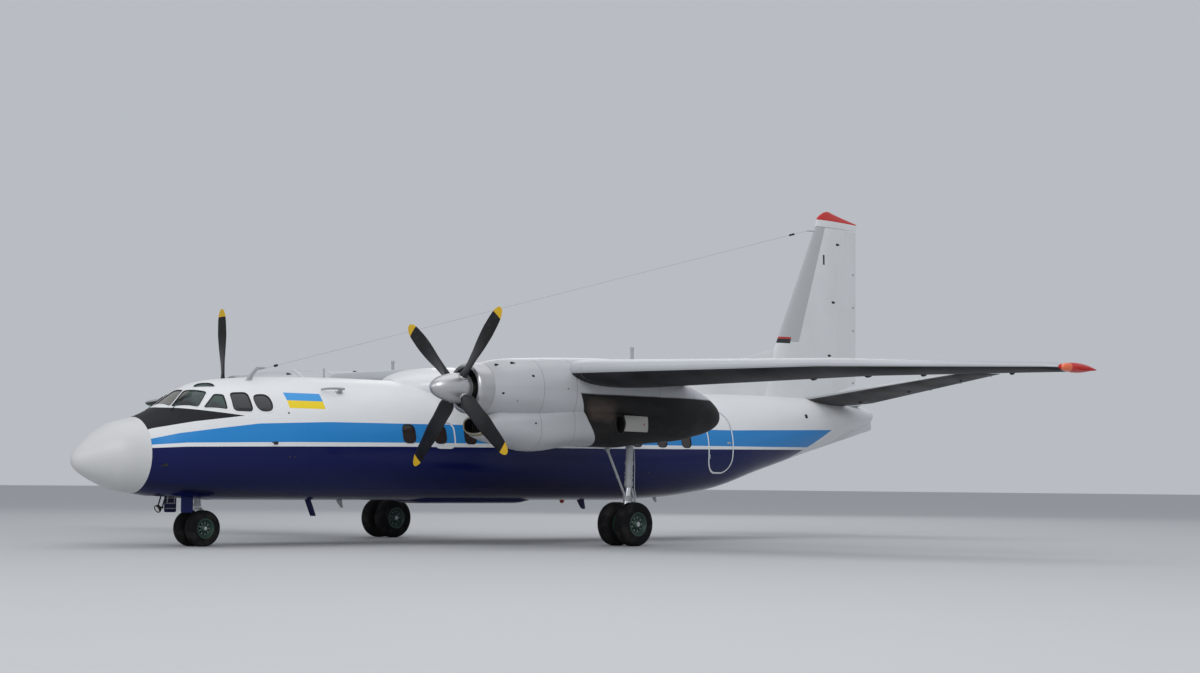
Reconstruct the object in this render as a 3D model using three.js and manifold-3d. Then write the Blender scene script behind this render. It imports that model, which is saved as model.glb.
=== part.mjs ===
// High-wing airliner with two turboprops, parked on its wheels.
// Millimetres, +Z up, nose towards -Y, the aircraft's left wing towards +X.
// The origin is on the ground, on the centreline, halfway along the length.
import * as THREE from "three";
import { mergeVertices } from "three/addons/utils/BufferGeometryUtils.js";
import Module from "manifold-3d";

const wasm = await Module();
wasm.setup();

// Driving dimensions
const LENGTH = 23530;
const HEIGHT = 8320;
const BODY_HALF = 1450;
const CROWN = 3400;
const BELLY = 900;
const ENGINE_X = 3950;
const SHAFT_Z = 3090;
const PROP_STATION = 5970;
const PROP_RADIUS = 1950;
const MAIN_STATION = 10550;
const MAIN_RADIUS = 450;
const NOSE_STATION = 2760;
const NOSE_RADIUS = 350;

// Clearances
const SEAM = 0.4;
const MOVING_GAP = 9;
const END_GAP = 16;
const FAR = 30000;

// Distance from the centreline to the inner end of a doorway's cut
const DOOR_REACH = 400;

// Facets round a body, a wheel and a small tube
const BODY_SIDES = 24;
const NACELLE_SIDES = 18;
const TYRE_SIDES = 28;
const RIM_SIDES = 16;
const TUBE_SIDES = 12;
const HINGE_SIDES = 24;
const AIRFOIL_STEPS = 7;

// A station is a distance behind the tip of the nose.
const yOf = (station) => station - LENGTH / 2;
const mix = (a, b, t) => a + (b - a) * t;
const radians = THREE.MathUtils.degToRad;

// Solids, joined and cut

function solidOf(geometry) {
  const bare = geometry.clone();
  bare.deleteAttribute("normal");
  bare.deleteAttribute("uv");
  const merged = mergeVertices(bare, 1e-3);
  const vertProperties = new Float32Array(merged.attributes.position.array);
  const triVerts = new Uint32Array(merged.index.array);
  return new wasm.Manifold(new wasm.Mesh({ numProp: 3, vertProperties, triVerts }));
}

function geometryOf(solid) {
  const mesh = solid.getMesh();
  const geometry = new THREE.BufferGeometry();
  geometry.setAttribute("position", new THREE.BufferAttribute(new Float32Array(mesh.vertProperties), 3));
  geometry.setIndex(new THREE.BufferAttribute(new Uint32Array(mesh.triVerts), 1));
  geometry.computeVertexNormals();
  return geometry;
}

function joined(solids) {
  return solids.reduce((whole, solid) => whole.add(solid));
}

// Signed volume, to tell which way the triangles of a geometry face
function volumeOf(points, index) {
  let six = 0;
  for (let i = 0; i < index.length; i += 3) {
    const [a, b, c] = [points[index[i]], points[index[i + 1]], points[index[i + 2]]];
    six += a.dot(new THREE.Vector3().crossVectors(b, c));
  }
  return six / 6;
}

// A closed body through rings of points that all have the same count
function loft(rings) {
  const count = rings[0].length;
  const points = rings.flat();
  const index = [];
  for (let ring = 0; ring + 1 < rings.length; ring += 1) {
    for (let i = 0; i < count; i += 1) {
      const a = ring * count + i;
      const b = ring * count + ((i + 1) % count);
      const [c, d] = [a + count, b + count];
      // The shorter diagonal, so that both halves of a body fold alike
      const flip = points[a].distanceTo(points[d]) < points[b].distanceTo(points[c]) - 1e-3;
      index.push(...(flip ? [a, b, d, a, d, c] : [a, b, c, b, d, c]));
    }
  }
  const middle = (ring) => ring.reduce((sum, p) => sum.add(p), new THREE.Vector3()).divideScalar(count);
  const first = points.push(middle(rings[0])) - 1;
  const last = points.push(middle(rings[rings.length - 1])) - 1;
  const lastRing = (rings.length - 1) * count;
  for (let i = 0; i < count; i += 1) {
    const next = (i + 1) % count;
    index.push(next, i, first, lastRing + i, lastRing + next, last);
  }
  if (volumeOf(points, index) < 0) index.reverse();
  const geometry = new THREE.BufferGeometry().setFromPoints(points);
  geometry.setIndex(index);
  return solidOf(geometry);
}

function box(lo, hi) {
  const size = new THREE.Vector3().subVectors(hi, lo);
  const geometry = new THREE.BoxGeometry(size.x, size.y, size.z);
  return solidOf(geometry.translate(lo.x + size.x / 2, lo.y + size.y / 2, lo.z + size.z / 2));
}

// The part of a solid between two values of one axis, less half a seam at each end
function slice(solid, axis, lo, hi) {
  const low = new THREE.Vector3(-FAR, -FAR, -FAR);
  const high = new THREE.Vector3(FAR, FAR, FAR);
  low[axis] = lo + SEAM / 2;
  high[axis] = hi - SEAM / 2;
  return solid.intersect(box(low, high));
}

// A round body about a line between two points, from [along, radius] pairs
function turned(from, to, profile, sides = TUBE_SIDES) {
  const direction = new THREE.Vector3().subVectors(to, from).normalize();
  const points = profile.map(([along, radius]) => new THREE.Vector2(radius, along));
  const geometry = new THREE.LatheGeometry(points, sides);
  geometry.rotateY(Math.PI / sides);
  const turn = new THREE.Quaternion().setFromUnitVectors(new THREE.Vector3(0, 1, 0), direction);
  geometry.applyQuaternion(turn);
  return solidOf(geometry.translate(from.x, from.y, from.z));
}

function rod(from, to, radius, sides = TUBE_SIDES) {
  const length = from.distanceTo(to);
  return turned(from, to, [[0, 0], [0, radius], [length, radius], [length, 0]], sides);
}

// The outline of a doorway, seen from the side, pushed across the body
function doorway(door, grow) {
  const [front, rear] = [yOf(door.front) - grow, yOf(door.rear) + grow];
  const [sill, head] = [door.sill - grow, door.head + grow];
  const corner = door.corner;
  const shape = new THREE.Shape();
  shape.moveTo(front + corner, sill);
  shape.lineTo(rear - corner, sill);
  shape.absarc(rear - corner, sill + corner, corner, -Math.PI / 2, 0);
  shape.absarc(rear - corner, head - corner, corner, 0, Math.PI / 2);
  shape.absarc(front + corner, head - corner, corner, Math.PI / 2, Math.PI);
  shape.absarc(front + corner, sill + corner, corner, Math.PI, Math.PI * 1.5);
  const depth = BODY_HALF;
  const geometry = new THREE.ExtrudeGeometry(shape, { depth, bevelEnabled: false, curveSegments: 3 });
  const inmost = door.side > 0 ? DOOR_REACH : -DOOR_REACH - depth;
  const turn = new THREE.Matrix4().set(0, 0, 1, inmost, 1, 0, 0, 0, 0, 1, 0, 0, 0, 0, 0, 1);
  return solidOf(geometry.applyMatrix4(turn));
}

// Fuselage

// Half an ellipse above the widest line, and a squarer half below it
function bodyRing({ station, top, bottom, half, wide, square }, grow = 0) {
  const ring = [];
  for (let i = 0; i < BODY_SIDES; i += 1) {
    const angle = (i / BODY_SIDES) * 2 * Math.PI;
    const [c, s] = [Math.cos(angle), Math.sin(angle)];
    const power = s < 0 ? 2 / square : 1;
    const x = (half + grow) * Math.sign(c) * Math.abs(c) ** power;
    const reach = s < 0 ? wide - bottom + grow : top - wide + grow;
    const z = wide + reach * Math.sign(s) * Math.abs(s) ** power;
    ring.push(new THREE.Vector3(x, yOf(station), z));
  }
  return ring;
}

const bodyRow = ([station, top, bottom, half, wide, square]) => (
  { station, top, bottom, half, wide, square }
);

// Columns: station, top, bottom, half width, height of the widest line, squareness of the lower half
const BODY_ROWS = [
  [0, 1665, 1615, 25, 1640, 2],
  [40, 1770, 1510, 130, 1640, 2],
  [140, 1890, 1415, 238, 1650, 2],
  [280, 2010, 1330, 340, 1665, 2],
  [540, 2210, 1205, 502, 1700, 2],
  [810, 2355, 1100, 627, 1725, 2],
  [1270, 2470, 1020, 730, 1745, 2],
  [1830, 2710, 950, 930, 1790, 2.1],
  [2360, 3060, 925, 1090, 1840, 2.2],
  [2770, 3210, 905, 1190, 1870, 2.3],
  [3400, 3290, BELLY, 1310, 1900, 2.4],
  [4180, 3345, BELLY, 1400, 1930, 2.5],
  [5200, 3385, BELLY, 1440, 1950, 2.6],
  [6200, CROWN, BELLY, BODY_HALF, 1950, 2.6],
  [13600, CROWN, BELLY, BODY_HALF, 1950, 2.6],
  [15000, 3420, 955, 1420, 1990, 2.5],
  [16640, 3450, 1120, 1310, 2150, 2.4],
  [18600, 3485, 1590, 1060, 2500, 2.3],
  [20000, 3490, 1930, 850, 2710, 2.2],
  [21200, 3470, 2230, 640, 2880, 2.1],
  [22300, 3410, 2600, 420, 3020, 2],
  [23100, 3310, 2820, 230, 3080, 2],
  [23430, 3230, 2950, 120, 3100, 2],
  [LENGTH, 3150, 3060, 45, 3105, 2],
].map(bodyRow);

const fuselage = (grow) => loft(BODY_ROWS.map((row) => bodyRing(row, grow)));

// Front and rear station of each panel
const BODY_PANELS = {
  nose_radome: [-100, 1270],
  cockpit_section: [1270, 4400],
  cabin_section: [4400, 15300],
  tail_section: [15300, 21000],
  tail_cone: [21000, LENGTH + 100],
};

const SKIN = 60;
const DOOR_GAP = 5;
// Columns: name, panel, side, front, rear, sill, head, corner radius
const DOORS = [
  ["passenger_door", "tail_section", 1, 15880, 16700, 1590, 2970, 300],
  ["cargo_door", "cabin_section", -1, 4750, 5950, 1330, 2450, 120],
  ["baggage_door", "tail_section", -1, 16850, 17600, 1650, 2950, 250],
].map(([name, panel, side, front, rear, sill, head, corner]) => (
  { name, panel, side, front, rear, sill, head, corner }
));

// Airfoil surfaces

// Half the thickness of a section as a share of its chord
function halfThickness(t, ratio) {
  const rise = 0.2969 * Math.sqrt(t) - 0.126 * t - 0.3516 * t ** 2 + 0.2843 * t ** 3 - 0.1036 * t ** 4;
  return 5 * ratio * rise;
}

const EDGE = 5;

// Points round a section: place(span, station, lift) puts them in space
function airfoilRing(row, camber, place, grow) {
  const { span, lead, trail, leadLift, trailLift, thick } = row;
  const chord = trail - lead;
  const at = (t, side) => {
    const bend = 4 * camber * t * (1 - t) * chord;
    const out = halfThickness(t, thick) * chord + EDGE * t + grow;
    const nose = t === 0 ? -grow : 0;
    const tail = t === 1 ? grow : 0;
    return place(span, lead + chord * t + nose + tail, mix(leadLift, trailLift, t) + bend + side * out);
  };
  const turns = [...Array(AIRFOIL_STEPS + 1).keys()].map((i) => (Math.PI * i) / AIRFOIL_STEPS);
  const steps = turns.map((turn) => (1 - Math.cos(turn)) / 2);
  const upper = steps.slice(1).reverse().map((t) => at(t, 1));
  const lower = steps.slice(1).map((t) => at(t, -1));
  return [...upper, at(0, 0), ...lower];
}

const spanRow = ([span, lead, trail, leadLift, trailLift, thick]) => (
  { span, lead, trail, leadLift, trailLift, thick }
);

function surface(rows, camber, place, grow = 0) {
  return loft(rows.map((row) => airfoilRing(row, camber, place, grow)));
}

const across = (span, station, lift) => new THREE.Vector3(span, yOf(station), lift);
const upright = (span, station, lift) => new THREE.Vector3(lift, yOf(station), span);

const blend = (a, b, t) => (
  Object.fromEntries(Object.keys(a).map((key) => [key, mix(a[key], b[key], t)]))
);

// A row of a surface between two rows of its table
function rowAt(rows, span) {
  const next = Math.max(1, rows.findIndex((row) => row.span >= span));
  const [a, b] = [rows[next - 1], rows[next]];
  return blend(a, b, (span - a.span) / (b.span - a.span));
}

// Where a hinge crosses one section: share of the chord, and height from -1 at the skin below to 1 above
function hingeAt(rows, camber, hinge, span) {
  const row = rowAt(rows, span);
  const chord = row.trail - row.lead;
  const t = hinge.share;
  const half = halfThickness(t, row.thick) * chord + EDGE * t;
  const mid = mix(row.leadLift, row.trailLift, t) + 4 * camber * t * (1 - t) * chord;
  const radius = half * (1 - hinge.height) * 0.985;
  return { span, station: row.lead + chord * t, lift: mid + half * hinge.height, radius };
}

// All that lies behind a hinge line, with a round front about it
function hingeZone([first, last], place, grow, endGrow) {
  const past = endGrow / (last.span - first.span);
  const [inner, outer] = [blend(first, last, -past), blend(first, last, 1 + past)];
  const disc = ({ span, station, lift, radius }) => [...Array(HINGE_SIDES).keys()].map((i) => {
    const angle = (i / HINGE_SIDES) * 2 * Math.PI;
    const reach = radius + grow;
    return place(span, station + reach * Math.cos(angle), lift + reach * Math.sin(angle));
  });
  const block = ({ span, station, lift }) => {
    const [front, rear] = [station - grow * 0.5, station + 4000];
    const [low, high] = [lift - 2000, lift + 2000];
    const corners = [[front, low], [rear, low], [rear, high], [front, high]];
    return corners.map(([along, height]) => place(span, along, height));
  };
  return loft([disc(inner), disc(outer)]).add(loft([block(inner), block(outer)]));
}

// A moving surface and the room that it needs in the fixed one
function hinged(rows, camber, place, hinge) {
  const ends = hinge.spans.map((span) => hingeAt(rows, camber, hinge, span));
  const whole = surface(rows, camber, place);
  const grown = surface(rows, camber, place, 20);
  return {
    moving: whole.intersect(hingeZone(ends, place, 0, 0)),
    room: grown.intersect(hingeZone(ends, place, MOVING_GAP, END_GAP)),
    ends,
  };
}

// Wing

const WING_CAMBER = 0.01;
// Columns: span, leading edge, trailing edge, height of each, thickness ratio
const WING_ROWS = [
  [0, 8420, 11850, 3505, 3361, 0.16],
  [4500, 8420, 11850, 3505, 3361, 0.16],
  [9900, 9567, 11742, 3490, 3398, 0.145],
  [14250, 10492, 11655, 3360, 3322, 0.13],
  [14500, 10640, 11640, 3348, 3322, 0.125],
  [14600, 10930, 11560, 3342, 3326, 0.1],
].map(spanRow);
const RIGHT_ROWS = WING_ROWS.slice(1).map((row) => ({ ...row, span: -row.span })).reverse();
const WING_JOINT = 4750;

const FLAP_HINGE = { share: 0.76, height: -1 };
const INNER_FLAP = { ...FLAP_HINGE, spans: [1480, 3250] };
const OUTER_FLAP = { ...FLAP_HINGE, spans: [4800, 9350] };
const AILERON = { share: 0.74, height: 0, spans: [9500, 14150] };

// Tail

const FIN_ROWS = [
  [3300, 19000, 22850, 0, 0, 0.085],
  [7900, 21245, 22870, 0, 0, 0.085],
].map(spanRow);
const FIN_TOP = 7900;
const CAP_ROWS = [
  [7925, 21257, 22872, 0, 0, 0.085],
  [8090, 21290, 22890, 0, 0, 0.085],
  [8150, 21335, 22570, 0, 0, 0.095],
  [8230, 21440, 22160, 0, 0, 0.11],
  [8290, 21560, 21880, 0, 0, 0.16],
  [HEIGHT, 21660, 21780, 0, 0, 0.1],
].map(spanRow);
const RUDDER_LINE = { foot: { span: 3620, station: 21710 }, head: { span: 7880, station: 22250 } };
const TAIL_ROWS = [
  [0, 20560, 22740, 3395, 3300, 0.11],
  [4350, 21700, 22905, 4034, 4020, 0.1],
  [4500, 21790, 22900, 4052, 4040, 0.09],
  [4540, 21900, 22860, 4056, 4046, 0.06],
].map(spanRow);
const ELEVATOR = { share: 0.64, height: 0, spans: [300, 4400] };

// Nacelle and fairings

const boxyRow = ([station, top, bottom, half, square]) => ({ station, top, bottom, half, square });
// Columns: station, top, bottom, half width, squareness
const COWL_ROWS = [
  [6520, 3595, 2585, 505, 2],
  [7000, 3690, 2520, 590, 2.1],
  [7700, 3745, 2470, 640, 2.2],
  [8700, 3795, 2450, 650, 2.4],
  [9800, 3825, 2450, 650, 2.4],
  [10700, 3820, 2300, 645, 2.5],
  [11500, 3620, 2150, 610, 2.5],
  [12000, 3460, 2190, 550, 2.4],
  [12400, 3330, 2270, 480, 2.3],
  [12750, 3190, 2340, 400, 2.2],
  [13000, 3060, 2420, 310, 2.1],
  [13200, 2920, 2520, 190, 2],
  [13300, 2760, 2640, 50, 2],
].map(boxyRow);
const CHIN_ROWS = [
  [6420, 2560, 2210, 330, 2.4],
  [6530, 2570, 2150, 390, 2.4],
  [6800, 2700, 2060, 470, 2.4],
  [7220, 2740, 1990, 530, 2.5],
  [7800, 2800, 1900, 570, 2.6],
  [8910, 2900, 2020, 600, 2.8],
  [10000, 2900, 2010, 600, 2.8],
  [10800, 2900, 2090, 580, 2.7],
  [11600, 2800, 2160, 540, 2.5],
].map(boxyRow);
// The duct in the chin, open to the front
const DUCT_ROWS = [
  [6400, 2525, 2245, 295, 2.4],
  [6900, 2585, 2170, 360, 2.4],
].map(boxyRow);

// The wing fairing and the pad under the belly, with the same columns
const HUMP_ROWS = [
  [7420, 3440, 2900, 380, 2],
  [7770, 3580, 2900, 760, 2.2],
  [8310, 3690, 2850, 1120, 2.6],
  [8700, 3720, 2800, 1260, 3],
  [9800, 3720, 2750, 1320, 3],
  [11600, 3560, 2750, 1300, 3],
  [12400, 3500, 2850, 1060, 2.6],
  [13300, 3420, 2900, 600, 2.2],
].map(boxyRow);
const PAD_ROWS = [
  [7790, 960, 880, 300, 3],
  [8200, 1000, 832, 520, 3],
  [10700, 1000, 832, 520, 3],
  [11180, 960, 880, 300, 3],
].map(boxyRow);

function boxyRing({ station, top, bottom, half, square }, centre, grow) {
  const middle = (top + bottom) / 2;
  return [...Array(NACELLE_SIDES).keys()].map((i) => {
    const angle = (i / NACELLE_SIDES) * 2 * Math.PI;
    const [c, s] = [Math.cos(angle), Math.sin(angle)];
    const x = (half + grow) * Math.sign(c) * Math.abs(c) ** (2 / square);
    const z = middle + ((top - bottom) / 2 + grow) * Math.sign(s) * Math.abs(s) ** (2 / square);
    return new THREE.Vector3(centre + x, yOf(station), z);
  });
}

const boxy = (rows, centre, grow) => loft(rows.map((row) => boxyRing(row, centre, grow)));
const nacelleSolid = (grow) => joined([COWL_ROWS, CHIN_ROWS].map((rows) => boxy(rows, ENGINE_X, grow)));

const BORE_RADIUS = 400;
const ENGINE = { radius: 340, front: 6640, rear: 8340, shaft: 80 };
const AUX_JET = { front: 12900, rear: 13330, z: 2795 };
const JET_PIPE = { station: 9800, z: 2480, halfLong: 130, halfTall: 195, inner: 330, outer: 900 };

// Propeller

// Columns: distance from the shaft, chord, thickness, pitch in degrees
const BLADE_ROWS = [
  [120, 164, 164, -34],
  [315, 166, 155, -34],
  [400, 285, 108, -31],
  [500, 314, 85, -28],
  [800, 312, 58, -18],
  [1100, 345, 42, -9],
  [1400, 325, 32, 0],
  [1700, 280, 24, 2],
  [1850, 210, 17, 3],
  [PROP_RADIUS, 60, 8, 3],
].map(([reach, chord, thick, pitch]) => ({ reach, chord, thick, pitch }));
const BLADE_SIDES = 8;
const BLADES = 4;
const HUB = { radius: 190, front: 5800, rear: 6140 };
const SPINNER_PROFILE = [[0, 0], [30, 75], [140, 165], [330, 240], [560, 282], [810, 288], [810, 0]];
const SPINNER_STATION = 5320;
const SHANK = 82;

// Everything below is built for the left side; the right side is its mirror image.

const looks = {
  white: { color: 0xe9ebec, roughness: 0.32, metalness: 0.05 },
  offWhite: { color: 0xe2e0da, roughness: 0.45, metalness: 0 },
  navy: { color: 0x16204a, roughness: 0.35, metalness: 0.05 },
  wingGrey: { color: 0xb9bec0, roughness: 0.42, metalness: 0.35 },
  cowlGrey: { color: 0xc6cbcd, roughness: 0.36, metalness: 0.25 },
  bareMetal: { color: 0xb4b8ba, roughness: 0.3, metalness: 0.85 },
  darkSteel: { color: 0x3b3d40, roughness: 0.5, metalness: 0.7 },
  red: { color: 0xa8392f, roughness: 0.4, metalness: 0 },
  blade: { color: 0x1d1f22, roughness: 0.42, metalness: 0.2 },
  rubber: { color: 0x1b1b1c, roughness: 0.85, metalness: 0 },
  hubGreen: { color: 0x2f4a3c, roughness: 0.5, metalness: 0.2 },
  gearGrey: { color: 0x9da3a6, roughness: 0.4, metalness: 0.5 },
};
const materials = Object.fromEntries(
  Object.entries(looks).map(([name, values]) => [name, new THREE.MeshStandardMaterial(values)]),
);

const aircraft = new THREE.Group();
aircraft.name = "airliner";

function addPiece(name, geometry, material) {
  const mesh = new THREE.Mesh(geometry, materials[material]);
  mesh.name = name;
  aircraft.add(mesh);
}

const add = (name, solid, material) => addPiece(name, geometryOf(solid), material);

// The mirror image of a geometry, in the plane of symmetry
function mirrored(geometry) {
  const copy = geometry.clone().scale(-1, 1, 1);
  copy.index.array.reverse();
  copy.computeVertexNormals();
  return copy;
}

function addPair(name, solid, material) {
  const geometry = geometryOf(solid);
  addPiece(`${name}_left`, geometry, material);
  addPiece(`${name}_right`, mirrored(geometry), material);
}

// Wing with its flaps and ailerons

const wingRows = [...RIGHT_ROWS, ...WING_ROWS];
const wingWhole = surface(wingRows, WING_CAMBER, across);
const wingGrown = surface(wingRows, WING_CAMBER, across, SEAM);
const innerFlap = hinged(WING_ROWS, WING_CAMBER, across, INNER_FLAP);
const outerFlap = hinged(WING_ROWS, WING_CAMBER, across, OUTER_FLAP);
const aileron = hinged(WING_ROWS, WING_CAMBER, across, AILERON);
const innerFlapRoomBoth = joined([innerFlap.room, solidOf(mirrored(geometryOf(innerFlap.room)))]);

const wingCentre = slice(wingWhole, "x", -WING_JOINT, WING_JOINT).subtract(innerFlapRoomBoth);
add("wing_centre", wingCentre, "wingGrey");
const wingTip = slice(wingWhole, "x", WING_JOINT, FAR / 2);
const wingOuter = wingTip.subtract(outerFlap.room).subtract(aileron.room);
addPair("wing_outer", wingOuter, "wingGrey");
addPair("flap_inner", innerFlap.moving, "wingGrey");
addPair("flap_outer", outerFlap.moving, "wingGrey");
addPair("aileron", aileron.moving, "wingGrey");

// Fuselage panels, with the doorways and the place of the wing cut

const bodyWhole = fuselage(0);
const bodyGrown = fuselage(SEAM);
const bodyCore = fuselage(-SKIN);
const doorCore = fuselage(SEAM - SKIN);
const NOSE_WELL = { front: 1650, rear: 2960, half: 270, top: 1350 };
const noseWell = box(
  new THREE.Vector3(-NOSE_WELL.half, yOf(NOSE_WELL.front), 0),
  new THREE.Vector3(NOSE_WELL.half, yOf(NOSE_WELL.rear), NOSE_WELL.top),
);

// The tail section is a shell whose open front the cabin section closes.
const TAIL_SPACE = { wall: 120, front: 15200, rear: 20500 };
const tailSpace = slice(fuselage(-TAIL_SPACE.wall), "y", yOf(TAIL_SPACE.front), yOf(TAIL_SPACE.rear));

const bodyMaterial = { nose_radome: "offWhite" };
for (const [name, [start, end]] of Object.entries(BODY_PANELS)) {
  let panel = slice(bodyWhole, "y", yOf(start), yOf(end));
  for (const door of DOORS.filter(({ panel: place }) => place === name)) {
    panel = panel.subtract(doorway(door, DOOR_GAP).subtract(bodyCore));
  }
  if (name === "cabin_section") panel = panel.subtract(wingGrown);
  if (name === "cockpit_section") panel = panel.subtract(noseWell);
  if (name === "tail_section") panel = panel.subtract(tailSpace);
  add(name, panel, bodyMaterial[name] ?? "white");
}
for (const door of DOORS) {
  add(door.name, bodyWhole.intersect(doorway(door, 0)).subtract(doorCore), "white");
}

// Fairings

const hump = boxy(HUMP_ROWS, 0, 0).subtract(bodyGrown).subtract(wingGrown).subtract(innerFlapRoomBoth);
add("wing_fairing", hump, "white");
add("belly_fairing", boxy(PAD_ROWS, 0, 0).subtract(bodyGrown), "white");

// Fin, dorsal fin, cap and rudder

const hingeEnd = ({ span, station }) => {
  const row = rowAt(FIN_ROWS, span);
  const chord = row.trail - row.lead;
  const t = (station - row.lead) / chord;
  return { span, station, lift: 0, radius: (halfThickness(t, row.thick) * chord + EDGE * t) * 0.985 };
};
const rudderEnds = [hingeEnd(RUDDER_LINE.foot), hingeEnd(RUDDER_LINE.head)];
const finWhole = surface(FIN_ROWS, 0, upright);
const finGrown = surface(FIN_ROWS, 0, upright, 20);
// The rudder's foot rises towards its trailing edge, clear of the tail cone.
const footCut = loft([-400, 400].map((x) => [
  new THREE.Vector3(x, yOf(21400), 3000),
  new THREE.Vector3(x, yOf(23200), 3000),
  new THREE.Vector3(x, yOf(23200), 3985),
  new THREE.Vector3(x, yOf(21400), 3520),
]));
const rudder = finWhole.intersect(hingeZone(rudderEnds, upright, 0, 0)).subtract(footCut);
const rudderRoom = finGrown.intersect(hingeZone(rudderEnds, upright, MOVING_GAP, 600));
const fin = slice(finWhole, "z", 3000, FIN_TOP).subtract(rudderRoom).subtract(bodyGrown);
add("fin", fin, "white");
add("rudder", rudder, "white");
add("fin_cap", surface(CAP_ROWS, 0, upright), "red");

const DORSAL_LINE = [[14800, 3360], [16600, 3860], [18660, 4450], [19510, 4640], [20500, 4900]];
const DORSAL_HALF = [12, 40, 70, 84, 84];
const dorsalRings = DORSAL_LINE.map(([station, top], i) => {
  const half = DORSAL_HALF[i];
  return [
    [-half, 3200], [half, 3200], [half * 0.75, mix(3200, top, 0.6)], [half * 0.25, top],
    [-half * 0.25, top], [-half * 0.75, mix(3200, top, 0.6)],
  ].map(([x, z]) => new THREE.Vector3(x, yOf(station), z));
});
const finSeam = surface(FIN_ROWS, 0, upright, SEAM);
add("dorsal_fin", loft(dorsalRings).subtract(bodyGrown).subtract(finSeam), "white");

const VENTRAL = [[20780, 2090], [23500, 2740], [23460, 3000], [21000, 3000]];
const ventralRing = (x) => VENTRAL.map(([station, z]) => new THREE.Vector3(x, yOf(station), z));
const ventralPlate = loft([ventralRing(-35), ventralRing(35)]);
add("ventral_fin", ventralPlate.subtract(bodyGrown), "white");

// Tailplane and elevators

const elevator = hinged(TAIL_ROWS, 0, across, ELEVATOR);
// The elevator's inner end slants outward to the rear, clear of the rudder.
const innerCut = loft([2500, 4500].map((z) => [
  new THREE.Vector3(-100, yOf(21000), z),
  new THREE.Vector3(330, yOf(21000), z),
  new THREE.Vector3(420, yOf(21950), z),
  new THREE.Vector3(700, yOf(23000), z),
  new THREE.Vector3(-100, yOf(23000), z),
]));
const tailFront = slice(surface(TAIL_ROWS, 0, across).subtract(elevator.room), "x", 0, FAR / 2);
addPair("tailplane", tailFront.subtract(bodyGrown).subtract(finSeam), "wingGrey");
addPair("elevator", elevator.moving.subtract(innerCut), "wingGrey");

// Nacelles, engines and propellers

const bore = rod(
  new THREE.Vector3(ENGINE_X, yOf(6300), SHAFT_Z),
  new THREE.Vector3(ENGINE_X, yOf(ENGINE.rear + SEAM), SHAFT_Z),
  BORE_RADIUS,
  NACELLE_SIDES,
);
const pipeHole = loft([JET_PIPE.inner, JET_PIPE.outer].map((out) => (
  [...Array(TUBE_SIDES).keys()].map((i) => {
    const angle = (i / TUBE_SIDES) * 2 * Math.PI;
    const station = JET_PIPE.station + JET_PIPE.halfLong * Math.cos(angle);
    const z = JET_PIPE.z + JET_PIPE.halfTall * Math.sin(angle);
    return new THREE.Vector3(ENGINE_X + out, yOf(station), z);
  })
)));
const MAIN_WELL = { front: 10380, rear: 10900, half: 150, top: 2700 };
const mainWell = box(
  new THREE.Vector3(ENGINE_X - MAIN_WELL.half, yOf(MAIN_WELL.front), 1500),
  new THREE.Vector3(ENGINE_X + MAIN_WELL.half, yOf(MAIN_WELL.rear), MAIN_WELL.top),
);
const duct = boxy(DUCT_ROWS, ENGINE_X, 0);
const nacelleCuts = joined([wingGrown, bore, duct, pipeHole, mainWell]);
const nacelle = nacelleSolid(0).subtract(nacelleCuts);
add("nacelle_left", nacelle, "cowlGrey");
const nacelleRight = solidOf(mirrored(geometryOf(nacelle)));
add("nacelle_right", slice(nacelleRight, "y", -FAR / 2, yOf(AUX_JET.front)), "cowlGrey");

const shaftFrom = (station) => new THREE.Vector3(ENGINE_X, yOf(station), SHAFT_Z);
const engine = joined([
  rod(shaftFrom(ENGINE.front), shaftFrom(ENGINE.rear), ENGINE.radius, NACELLE_SIDES),
  rod(shaftFrom(HUB.rear + 8), shaftFrom(ENGINE.front + 10), ENGINE.shaft),
]);
addPair("engine", engine, "darkSteel");

const RING_STATION = 6155;
const RING_PROFILE = [[0, 395], [0, 470], [60, 492], [360, 503], [360, 402], [0, 395]];
const intakeRing = turned(shaftFrom(RING_STATION), shaftFrom(ENGINE.front), RING_PROFILE, NACELLE_SIDES);
addPair("intake_ring", intakeRing, "bareMetal");

const outward = (angle) => new THREE.Vector3(-Math.sin(angle), 0, Math.cos(angle));

function blade(angle) {
  const side = new THREE.Vector3(Math.cos(angle), 0, Math.sin(angle));
  const rings = BLADE_ROWS.map(({ reach, chord, thick, pitch }) => (
    [...Array(BLADE_SIDES).keys()].map((i) => {
      const around = (i / BLADE_SIDES) * 2 * Math.PI;
      const [u, v] = [(chord / 2) * Math.cos(around), (thick / 2) * Math.sin(around)];
      const tilt = radians(pitch);
      const along = u * Math.cos(tilt) - v * Math.sin(tilt);
      const back = u * Math.sin(tilt) + v * Math.cos(tilt);
      const point = shaftFrom(PROP_STATION + back);
      return point.addScaledVector(outward(angle), reach).addScaledVector(side, along);
    })
  ));
  return loft(rings);
}

function propeller(phase) {
  const angles = [...Array(BLADES).keys()].map((i) => phase + (i * 2 * Math.PI) / BLADES);
  const hub = rod(shaftFrom(HUB.front), shaftFrom(HUB.rear), HUB.radius, TUBE_SIDES);
  const cap = turned(shaftFrom(SPINNER_STATION), shaftFrom(HUB.rear), SPINNER_PROFILE, NACELLE_SIDES);
  const inside = rod(shaftFrom(HUB.front - 10), shaftFrom(HUB.rear + 50), HUB.radius + 8, TUBE_SIDES);
  const holes = angles.map((angle) => {
    const end = shaftFrom(PROP_STATION).addScaledVector(outward(angle), HUB.radius * 2);
    return rod(shaftFrom(PROP_STATION), end, SHANK + MOVING_GAP);
  });
  return {
    blades: joined([hub, ...angles.map(blade)]),
    spinner: holes.reduce((solid, hole) => solid.subtract(hole), cap.subtract(inside)),
  };
}

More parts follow.
